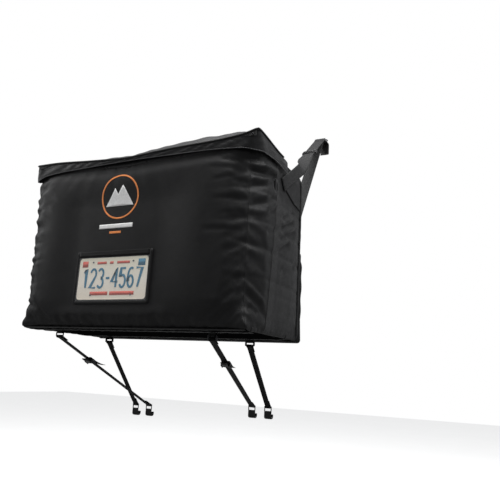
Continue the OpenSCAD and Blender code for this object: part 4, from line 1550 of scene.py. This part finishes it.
def add_badge():
    lo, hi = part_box("badge_ring")
    cx, cz, r = (lo.x + hi.x) / 2, (lo.z + hi.z) / 2, (hi.x - lo.x) / 2
    rows = []
    for k in range(121):
        a = 2 * math.pi * k / 120
        rows.append([on_front(cx + (r - d) * math.cos(a), cz + (r - d) * math.sin(a), 0.0005)
                     for d in (0.0, 0.002, 0.004, 0.006)])
    keep(slab("badge_ring_print", rows, (0, 1, 0), 0.0006, ORANGE), "bag", "orange_print",
         "badge_ring")
    lo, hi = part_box("badge_peaks")
    low = lo.z
    ridge = [(-0.062, -0.034), (-0.022, 0.034), (-0.008, 0.010), (0.004, 0.030), (0.014, 0.044),
             (0.062, -0.034)]
    rows = []
    for x in span(ridge[0][0] + 0.0005, ridge[-1][0] - 0.0005, 60):
        top = float(read_off(ridge, x))
        rows.append([on_front(cx + x, low + (cz + top - low) * t, 0.0009) for t in span(0, 1, 9)])
    keep(slab("badge_peaks_print", rows, (0, 1, 0), 0.0006, WHITE), "bag", "white_print",
         "badge_peaks")
    bars = []
    lo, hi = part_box("badge_bars")
    mid = (lo.x + hi.x) / 2
    for z, width, height, mat in ((hi.z - 0.008, hi.x - lo.x, 0.016, WHITE),
                                  (lo.z + 0.004, 0.052, 0.008, ORANGE)):
        rows = [[on_front(x, z + height / 2 * s, 0.0005) for s in span(-1, 1, 5)]
                for x in span(mid - width / 2, mid + width / 2, 30)]
        bars.append(slab("bar", rows, (0, 1, 0), 0.0006, mat))
    keep(join("badge_bars_print", bars), "bag", "white_print", "badge_bars")


# ---------------------------------------------------------------- rear pad
def add_pad():
    lo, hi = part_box("back_pad")
    swell = 0.011                       # the cushion bulges this far past its solid's outline
    lo, hi = lo - Vector((swell, 0, swell)), hi + Vector((swell, 0, 0))
    nx, nz = 110, 44
    cx = (lo.x + hi.x) / 2
    half = (hi.x - lo.x) / 2
    depth = hi.y - lo.y
    xs, zs = span(lo.x, hi.x, nx + 1), span(lo.z, hi.z, nz + 1)
    channels = [lo.x + (hi.x - lo.x) * k / 4 for k in (1, 2, 3)]

    def puff(x, z):
        e = min(x - lo.x, hi.x - x, z - lo.z, hi.z - z)
        edge = math.sqrt(max(0.0, 1 - (1 - min(1.0, e / 0.020)) ** 2))
        seam = 1 - 0.55 * sum(math.exp(-((x - c) / 0.008) ** 2) for c in channels)
        wrinkle = 1 + 0.045 * math.sin(z * 120 + 4 * math.sin(x * 21)) * math.exp(-e / 0.06)
        return (0.20 + 0.80 * edge) * seam * wrinkle
    rows_back, rows_front = [], []
    for z in zs:
        back, front = [], []
        for x in xs:
            inset = 0.016 * (1 - float(smooth(0, 0.08, hi.z - z))) + 0.0015 * (1 + math.sin(z * 70))
            px = cx + (x - cx) * (half - inset) / half
            p = puff(x, z)
            back.append(Vector((px, hi.y - 0.0030 - 0.012 * (1 - p), z)))
            front.append(Vector((px, lo.y + 0.0010 + depth * 0.35 * (1 - p), z)))
        rows_back.append(back)
        rows_front.append(front)
    pad = closed_sheet("rear_pad_cushion", rows_back, rows_front, FABRIC)
    subdivide(pad, 1)
    keep(pad, "bag", "pad_fabric", "back_pad")
    edge = []
    for x, z in rounded(cx, (lo.z + hi.z) / 2, hi.x - lo.x - 0.002, hi.z - lo.z - 0.002, 0.010):
        narrow = 1 - 0.033 * (1 - float(smooth(0, 0.08, hi.z - z)))
        edge.append(Vector((cx + (x - cx) * narrow, (lo.y + hi.y) / 2, z)))
    dense = []
    for a, b in zip(edge, edge[1:] + edge[:1]):
        steps = max(1, int((b - a).length / 0.02))
        dense += [a.lerp(b, q / steps) for q in range(steps)]
    keep(tube("rear_pad_welt", dense, 0.0024, PIPING, 8, closed=True), "bag", "piping")


def add_grip_mat():
    lo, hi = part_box("grip_mat")
    mat = rounded_sheet("grip_sheet", lo, hi, 0.018, MAT, (
        (0.0, lo.y + 0.0025), (0.0, hi.y - 0.0015), (0.0012, hi.y), (0.0100, hi.y),
        (0.0112, hi.y - 0.0008)))
    keep(mat, "bag", "grip_mat", "grip_mat")


# ---------------------------------------------------------------- top straps and their hardware
TOP_ROUTE = [(0.484, -0.250, 0.233), (0.484, -0.086, 0.349), (0.474, -0.036, 0.386),
             (0.459, 0.030, 0.436), (0.447, 0.095, 0.488)]
TOP_ACROSS = [(0, 0.6, -0.8), (0.10, 0.6, -0.8), (0.55, 0.5, -0.7), (0.85, 0.3, -0.4), (1, 0, 0)]
BACK_ROUTE = [(0.447, -0.043, 0.070), (0.447, -0.042, 0.128), (0.444, 0.020, 0.230)]


def flip(v, sx):
    return Vector((v[0] * sx, v[1], v[2]))


def add_top_web(side, bar, rise, normal):
    """Webbing up the side and over the top edge, round the ring's bar; returns its thread."""
    sx = SIDES[side]
    route = [flip(p, sx) for p in TOP_ROUTE]
    stub = bar - rise * 0.020
    ctrl = route + [route[-1].lerp(stub, 0.35), route[-1].lerp(stub, 0.7), stub]
    flat = Vector((sx, 0, 0))
    pts = [Vector(p) for p in spline(ctrl, 12)]
    acs = [Vector(a) for a in spline([flip(v, sx) for v in TOP_ACROSS] + [flat] * 3, 12)]
    pts[-1] = bar - rise * 0.012 + normal * 0.0030
    start = math.degrees(math.atan2(rise.z, rise.y)) + 125
    pts += arc_yz(bar, EYE_R, [math.radians(start - 250 * q / 27) for q in range(28)])
    for q in (0.012, 0.022, 0.032, 0.042):
        pts.append(bar - rise * (0.004 + q) - normal * (0.0034 - 0.0010 * (q > 0.02)))
    acs += [flat] * (len(pts) - len(acs))
    web = strap("top_web_" + side, pts, acs, TOP_WEB_W, WEB_T, WEBBING, 10)
    keep(web, "bag", "webbing", "top_strap_" + side)
    # the stitched box at the strap's lower end, on the bag's side
    run = (route[1] - route[0]).normalized()
    wide = (acs[0] - run * acs[0].dot(run)).normalized()
    out = run.cross(wide)
    base = route[0] + out * math.copysign(0.0013, out.x * sx)
    a, b, c, d = (base + run * up + wide * half for up, half in (
        (0.006, 0.021), (0.006, -0.021), (0.056, -0.021), (0.056, 0.021)))
    near = bar - rise * 0.036 + normal * 0.0014
    return [[a, b, c, d, a], [a, c], [b, d]] + [
        [near + rise * q + Vector((x, 0, 0)) for x in (0.021, -0.021)] for q in (0.0, 0.006, 0.022)]


def add_back_web(side, bar, rise, normal):
    """Webbing from behind the pad up to the same ring."""
    sx = SIDES[side]
    ctrl = [flip(p, sx) for p in BACK_ROUTE]
    goal = bar - normal * 0.0052 - rise * 0.030
    ctrl += [ctrl[-1].lerp(goal, 0.33), ctrl[-1].lerp(goal, 0.66), goal]
    pts = spline(ctrl, 12)
    web = strap("back_web_" + side, pts, [(sx, 0, 0)] * len(pts), BACK_WEB_W, WEB_T, WEBBING, 10)
    keep(web, "bag", "webbing", "back_strap_" + side)


def add_top_gear():
    threads = []
    for side, sx in SIDES.items():
        lo, hi = RINGS[side]
        r = RING_ROD
        bar = Vector(((lo.x + hi.x) / 2, lo.y + r, (lo.z + hi.z) / 2))      # the ring's lower bar
        far = Vector((bar.x, hi.y - r, bar.z))                              # and its upper one
        start = flip(TOP_ROUTE[-1], sx)
        rise = Vector((0, bar.y - start.y, bar.z - start.z)).normalized()
        normal = Vector((0, -rise.z, rise.y))
        threads += add_top_web(side, bar, rise, normal)
        add_back_web(side, bar, rise, normal)
        ring = [Vector((x, y, bar.z)) for x, y in rounded(
            bar.x, (bar.y + far.y) / 2, hi.x - lo.x - 2 * r, far.y - bar.y, 0.006)]
        keep(tube("steel_ring_" + side, ring, r, STEEL, 14, closed=True), "bag", "steel",
             "top_ring_" + side)
        add_hatch_hook(side, far)
        add_slider(side, start, (bar - rise * 0.020 - start).normalized())
    keep(stitches("strap_thread", threads), "bag", "webbing")


def add_hatch_hook(side, far):
    """Flat hook over the hatch edge; its eye turns round far, the ring's upper bar."""
    lo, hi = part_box("hatch_hook_" + side)
    t, eye, bend, curl = 0.003, 0.0048, 0.010, 0.0045   # thickness, then radii from eye to tip
    top, back, foot = far.z + 0.0045, hi.y - t / 2, lo.z + t / 2
    hook = arc_yz(far, eye, [math.radians(a) for a in span(-20, -270, 28)])
    hook += [Vector((far.x, far.y + q, top)) for q in (0.010, 0.016, 0.022, 0.028)]
    hook += [Vector((far.x, back - bend + bend * math.sin(a), top - bend + bend * math.cos(a)))
             for a in span(0.0, math.pi / 2, 9)]
    hook += [Vector((far.x, back, z)) for z in span(top - bend - 0.006, foot + 0.010, 5)]
    hook += [Vector((far.x, back - curl * (1 - math.cos(a)), foot + curl - curl * math.sin(a)))
             for a in span(0.2, math.pi / 2, 5)]
    hook += [Vector((far.x, back - 0.0075, foot + 0.0002))]
    clip = strap("hatch_clip_" + side, hook, [(1, 0, 0)] * len(hook), hi.x - lo.x, t, COATING,
                 10, 0.8)
    keep(clip, "hatch_hook_" + side, "hook_coating", "hatch_hook_" + side)


def add_slider(side, start, run):
    """Three-bar slider on the strap, past its twist."""
    m = frame_at(start + run * 0.070, run, (1, 0, 0))
    half = 0.0285
    parts = [block("rail", (0.0056, 0.0092, 0.0410), m @ Matrix.Translation((s * half, 0, 0)),
                   PLASTIC, 0.0016, 3) for s in (-1, 1)]
    # the upper end bar takes the acetal painted lighter, as a painted highlight
    for z, mat in ((-0.0175, PLASTIC), (0.0175, GLOSS_PAINTED_HIGHLIGHT)):
        parts.append(block("bar", (2 * half - 0.004, 0.0040, 0.0066),
                           m @ Matrix.Translation((0, -0.0036, z)), mat, 0.0013, 3))
    parts.append(block("middle", (2 * half - 0.004, 0.0034, 0.0058),
                       m @ Matrix.Translation((0, 0.0030, 0)), STEEL, 0.0012, 3))
    keep(join("three_bar_slider_" + side, parts), "top_buckle_" + side, "black_plastic",
         "top_buckle_" + side)


# ---------------------------------------------------------------- bottom straps and their hardware
def eye_strap(name, a, b, width, material, tails=(0.030, 0.036)):
    """Strap from bar a to bar b, sewn back on itself round both (bars run along X)."""
    a, b = Vector(a), Vector(b)
    run = (b - a).normalized()
    flat = Vector((0, run.y, run.z)).normalized()
    up = Vector((0, -flat.z, flat.y))
    if up.y > 0:
        up = -up
    ang = math.atan2(flat.z, flat.y)
    turn = 1 if up.dot(Vector((0, -math.sin(ang), math.cos(ang)))) > 0 else -1
    sweep = [turn * math.radians(140) * q / 17 for q in range(18)]
    pts = [a + run * (0.008 + tails[0]) - up * 0.0031, a + run * 0.016 - up * 0.0034]
    pts += arc_yz(a, EYE_R, [ang - turn * math.radians(110) - th for th in sweep])
    n_mid = 26
    inner_a, inner_b = a + run * 0.012 + up * 0.0018, b - run * 0.012 + up * 0.0018
    for q in range(n_mid + 1):
        pts.append(inner_a.lerp(inner_b, q / n_mid))
    pts += arc_yz(b, EYE_R, [ang + turn * math.radians(70) - th for th in sweep])
    pts.append(b - run * 0.016 - up * 0.0034)
    pts.append(b - run * (0.008 + tails[1]) - up * 0.0031)
    return strap(name, pts, [(1, 0, 0)] * len(pts), width, TIE_WEB_T, material, 8)


def add_bottom_gear():
    rings, locks, tabs, frames, pins = [], [], [], [], []
    for side, sx in SIDES.items():
        for end in ("front", "rear"):
            name = end + "_" + side
            hook_bar = Vector(JOINTS["bumper_hook_swing_" + name]["pos_m"])
            ax, ay = sx * ANCHOR_X, ANCHOR_Y[end]
            a = Vector((ax, ay, ANCHOR_Z))
            # the tie straps take the webbing painted near black, as painted shade
            keep(eye_strap("tie_web_" + name, a, hook_bar, TIE_WEB_W, TIE_WEB_PAINTED_SHADE), "bag", "webbing",
                 "bottom_strap_" + name)
            # link under the bag: a steel ring in front, a plastic ladder lock behind
            w, h = LINK_HALF, 0.016
            pts = [Vector((x, ay, z)) for x, z in rounded(ax, ANCHOR_Z + h / 2, 2 * w, h, 0.004)]
            if end == "front":
                rings.append(tube("link", pts, LINK_ROD, DARK_STEEL, 12, closed=True))
            else:
                locks.append(tube("link", pts, LINK_ROD, PLASTIC, 12, closed=True))
                for s in (-1, 1):
                    locks.append(block("cheek", (0.0048, 0.0088, 0.0155), Matrix.Translation(
                        (ax + s * w, ay, ANCHOR_Z + h / 2)), PLASTIC, 0.0014, 3))
            # webbing tab that holds the link
            c = Vector((ax, ay, ANCHOR_Z + h))
            top = Z_BOTTOM - 0.0028
            loop = [Vector((ax, ay - 0.011, top)), Vector((ax, ay - 0.006, top))]
            loop += arc_yz(c, 0.0043, span(math.radians(160), math.radians(380), 16))
            loop += [Vector((ax, ay + 0.006, top)), Vector((ax, ay + 0.011, top))]
            # in the webbing painted near black as painted shade
            tabs.append(strap("tab", loop, [(1, 0, 0)] * len(loop), 0.025, 0.0016, TIE_WEB_PAINTED_SHADE, 6))
            if end == "front":
                frames_here, pin = cam_frame_parts(a, hook_bar)
                frames += frames_here
                pins.append(pin)
                cam_lever(side, a, hook_bar)
                strap_tail(side, a, hook_bar)
            jaw(name, hook_bar)
    keep(join("link_rings", rings), "bag", "steel", "anchor_rings")
    keep(join("link_ladder_locks", locks), "bag", "black_plastic", "ladder_locks")
    keep(join("link_tabs", tabs), "bag", "webbing", "anchor_tabs")
    keep(join("cam_housings", frames), "bag", "steel", "cam_frames")
    keep(join("cam_axles", pins), "bag", "steel", "cam_pins")


RINGS_LO, RINGS_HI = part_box("anchor_rings")
LOCKS_LO, LOCKS_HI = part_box("ladder_locks")
LINK_HALF, LINK_ROD = 0.0165, 0.0024    # half a link's width, and its rod's radius
ANCHOR_X = RINGS_HI.x - LINK_HALF - LINK_ROD
ANCHOR_Y = {"front": (RINGS_LO.y + RINGS_HI.y) / 2, "rear": (LOCKS_LO.y + LOCKS_HI.y) / 2}
ANCHOR_Z = RINGS_LO.z + LINK_ROD
CAM_SHARE = 0.3                         # the cam buckle's place along the strap
CAM_PIVOT = 0.008                       # the pin's height over the webbing
FREE_TAIL = 0.070                       # webbing that hangs free below the cam buckle


def cam_matrix(a, b):
    return frame_at(a.lerp(b, CAM_SHARE), b - a, (1, 0, 0))


def cam_frame_parts(a, b):
    m = cam_matrix(a, b)
    x = m.to_3x3() @ Vector((1, 0, 0))
    parts = [block("plate", (0.0350, 0.0020, 0.0440), m @ Matrix.Translation((0, -0.0024, 0)),
                   DARK_STEEL, 0.0009, 2)]
    for s in (-1, 1):
        parts.append(block("cheek", (0.0028, 0.0170, 0.0235),
                           m @ Matrix.Translation((s * 0.016, 0.0053, 0)), DARK_STEEL, 0.0012, 3))
    for s in (-1, 1):
        ring = m @ Vector((s * 0.0177, CAM_PIVOT, 0))
        parts.append(tube("washer", [ring, ring + x * s * 0.0006], 0.0034, DARK_STEEL, 18))
    c = m @ Vector((0, CAM_PIVOT, 0))
    return parts, tube("pin", [c - x * 0.0185, c + x * 0.0185], 0.0019, DARK_STEEL, 16)


def cam_lever(side, a, b):
    m = cam_matrix(a, b)
    # barrel, with teeth where it bites the webbing
    verts, faces = [], []
    n = 40
    for s in (-1, 1):
        for k, t in enumerate(circle(n)):
            r = 0.0060 - 0.0007 * (k % 2) * (math.sin(t) < 0.3)
            verts.append(m @ Vector((s * 0.0120, CAM_PIVOT + r * math.sin(t), r * math.cos(t))))
        for t in circle(n):
            verts.append(m @ Vector((s * 0.0120, CAM_PIVOT + 0.0021 * math.sin(t),
                                     0.0021 * math.cos(t))))
    for k in range(n):
        q = (k + 1) % n
        faces += [(k, q, 2 * n + q, 2 * n + k), (n + k, 3 * n + k, 3 * n + q, n + q),
                  (k, n + k, n + q, q), (2 * n + k, 2 * n + q, 3 * n + q, 3 * n + k)]
    barrel = new_object("barrel", verts, faces, PLASTIC, False)
    fix_normals(barrel)
    handle = block("handle", (0.0238, 0.0034, 0.0350),
                   m @ Matrix.Translation((0, 0.012, -0.0200)), PLASTIC, 0.0014, 3)
    grips = [block("grip", (0.0180, 0.0012, 0.0012), m @ Matrix.Translation((0, 0.0138, z)),
                   PLASTIC, 0.0004, 2) for z in span(-0.034, -0.024, 5)]
    keep(join("cam_thumb_" + side, [barrel, handle] + grips), "cam_lever_" + side, "black_plastic",
         "cam_lever_" + side)


def strap_tail(side, a, b):
    """Loose end of the webbing that has come through the cam buckle."""
    m = cam_matrix(a, b)
    pts = [m @ Vector((0.002 * math.sin(3 * t), -0.0046 - 0.012 * t * t, 0.010 + FREE_TAIL * t))
           for t in span(0, 1, 18)]
    # in the webbing painted near black as painted shade
    tail = strap("tie_tail_" + side, pts, [(1, 0, 0)] * len(pts), 0.0245, 0.0017, TIE_WEB_PAINTED_SHADE, 8)
    keep(tail, "bag", "webbing")


def jaw(name, bar):
    """Flat steel hook bent to a J, with a dipped coating, hanging from the strap's eye."""
    w, t = 0.033, 0.0035                # the hook's width and thickness
    parts = [tube("bar", [bar + Vector((x, 0, 0)) for x in (-w / 2, w / 2)], 0.0026,
                  DARK_STEEL, 14)]
    for s in (-1, 1):
        parts.append(block("side", (t, t, 0.0175), Matrix.Translation(bar + Vector(
            (s * (w / 2 - t / 2), 0, -0.0080))), COATING, 0.0010, 3))
    path = [bar + Vector((0, 0, z)) for z in (-0.0163, -0.0200, -0.0260, -0.0320, -0.0370)]
    path += [bar + Vector((0, 0.010 - 0.010 * math.cos(a), -0.038 - 0.010 * math.sin(a)))
             for a in span(0.08, math.pi - 0.02, 18)]
    path += [bar + Vector((0, 0.020, z)) for z in (-0.0370, -0.0335, -0.0302)]
    parts.append(strap("hook", path, [(1, 0, 0)] * len(path), w, t, COATING, 8, 0.7))
    keep(join("jaw_" + name, parts), "bumper_hook_" + name, "hook_coating", "bumper_hook_" + name)


def dress_cad():
    board = bpy.data.objects.get("base_board")
    if board is None:
        board = next(o for o in bpy.data.objects if o.type == "MESH" and "base_board" in o.name)
    board.data.materials.clear()
    board.data.materials.append(BOARD)


add_shell()
add_seams()
add_top_strip()
add_lid()
add_lid_trim()
add_lid_corners()
add_reinforcement()
add_zip()
add_zip_sliders()
add_pocket()
add_window()
add_plate()
add_badge()
add_pad()
add_grip_mat()
add_top_gear()
add_bottom_gear()
dress_cad()
bpy.context.scene.view_settings.view_transform = "Standard"
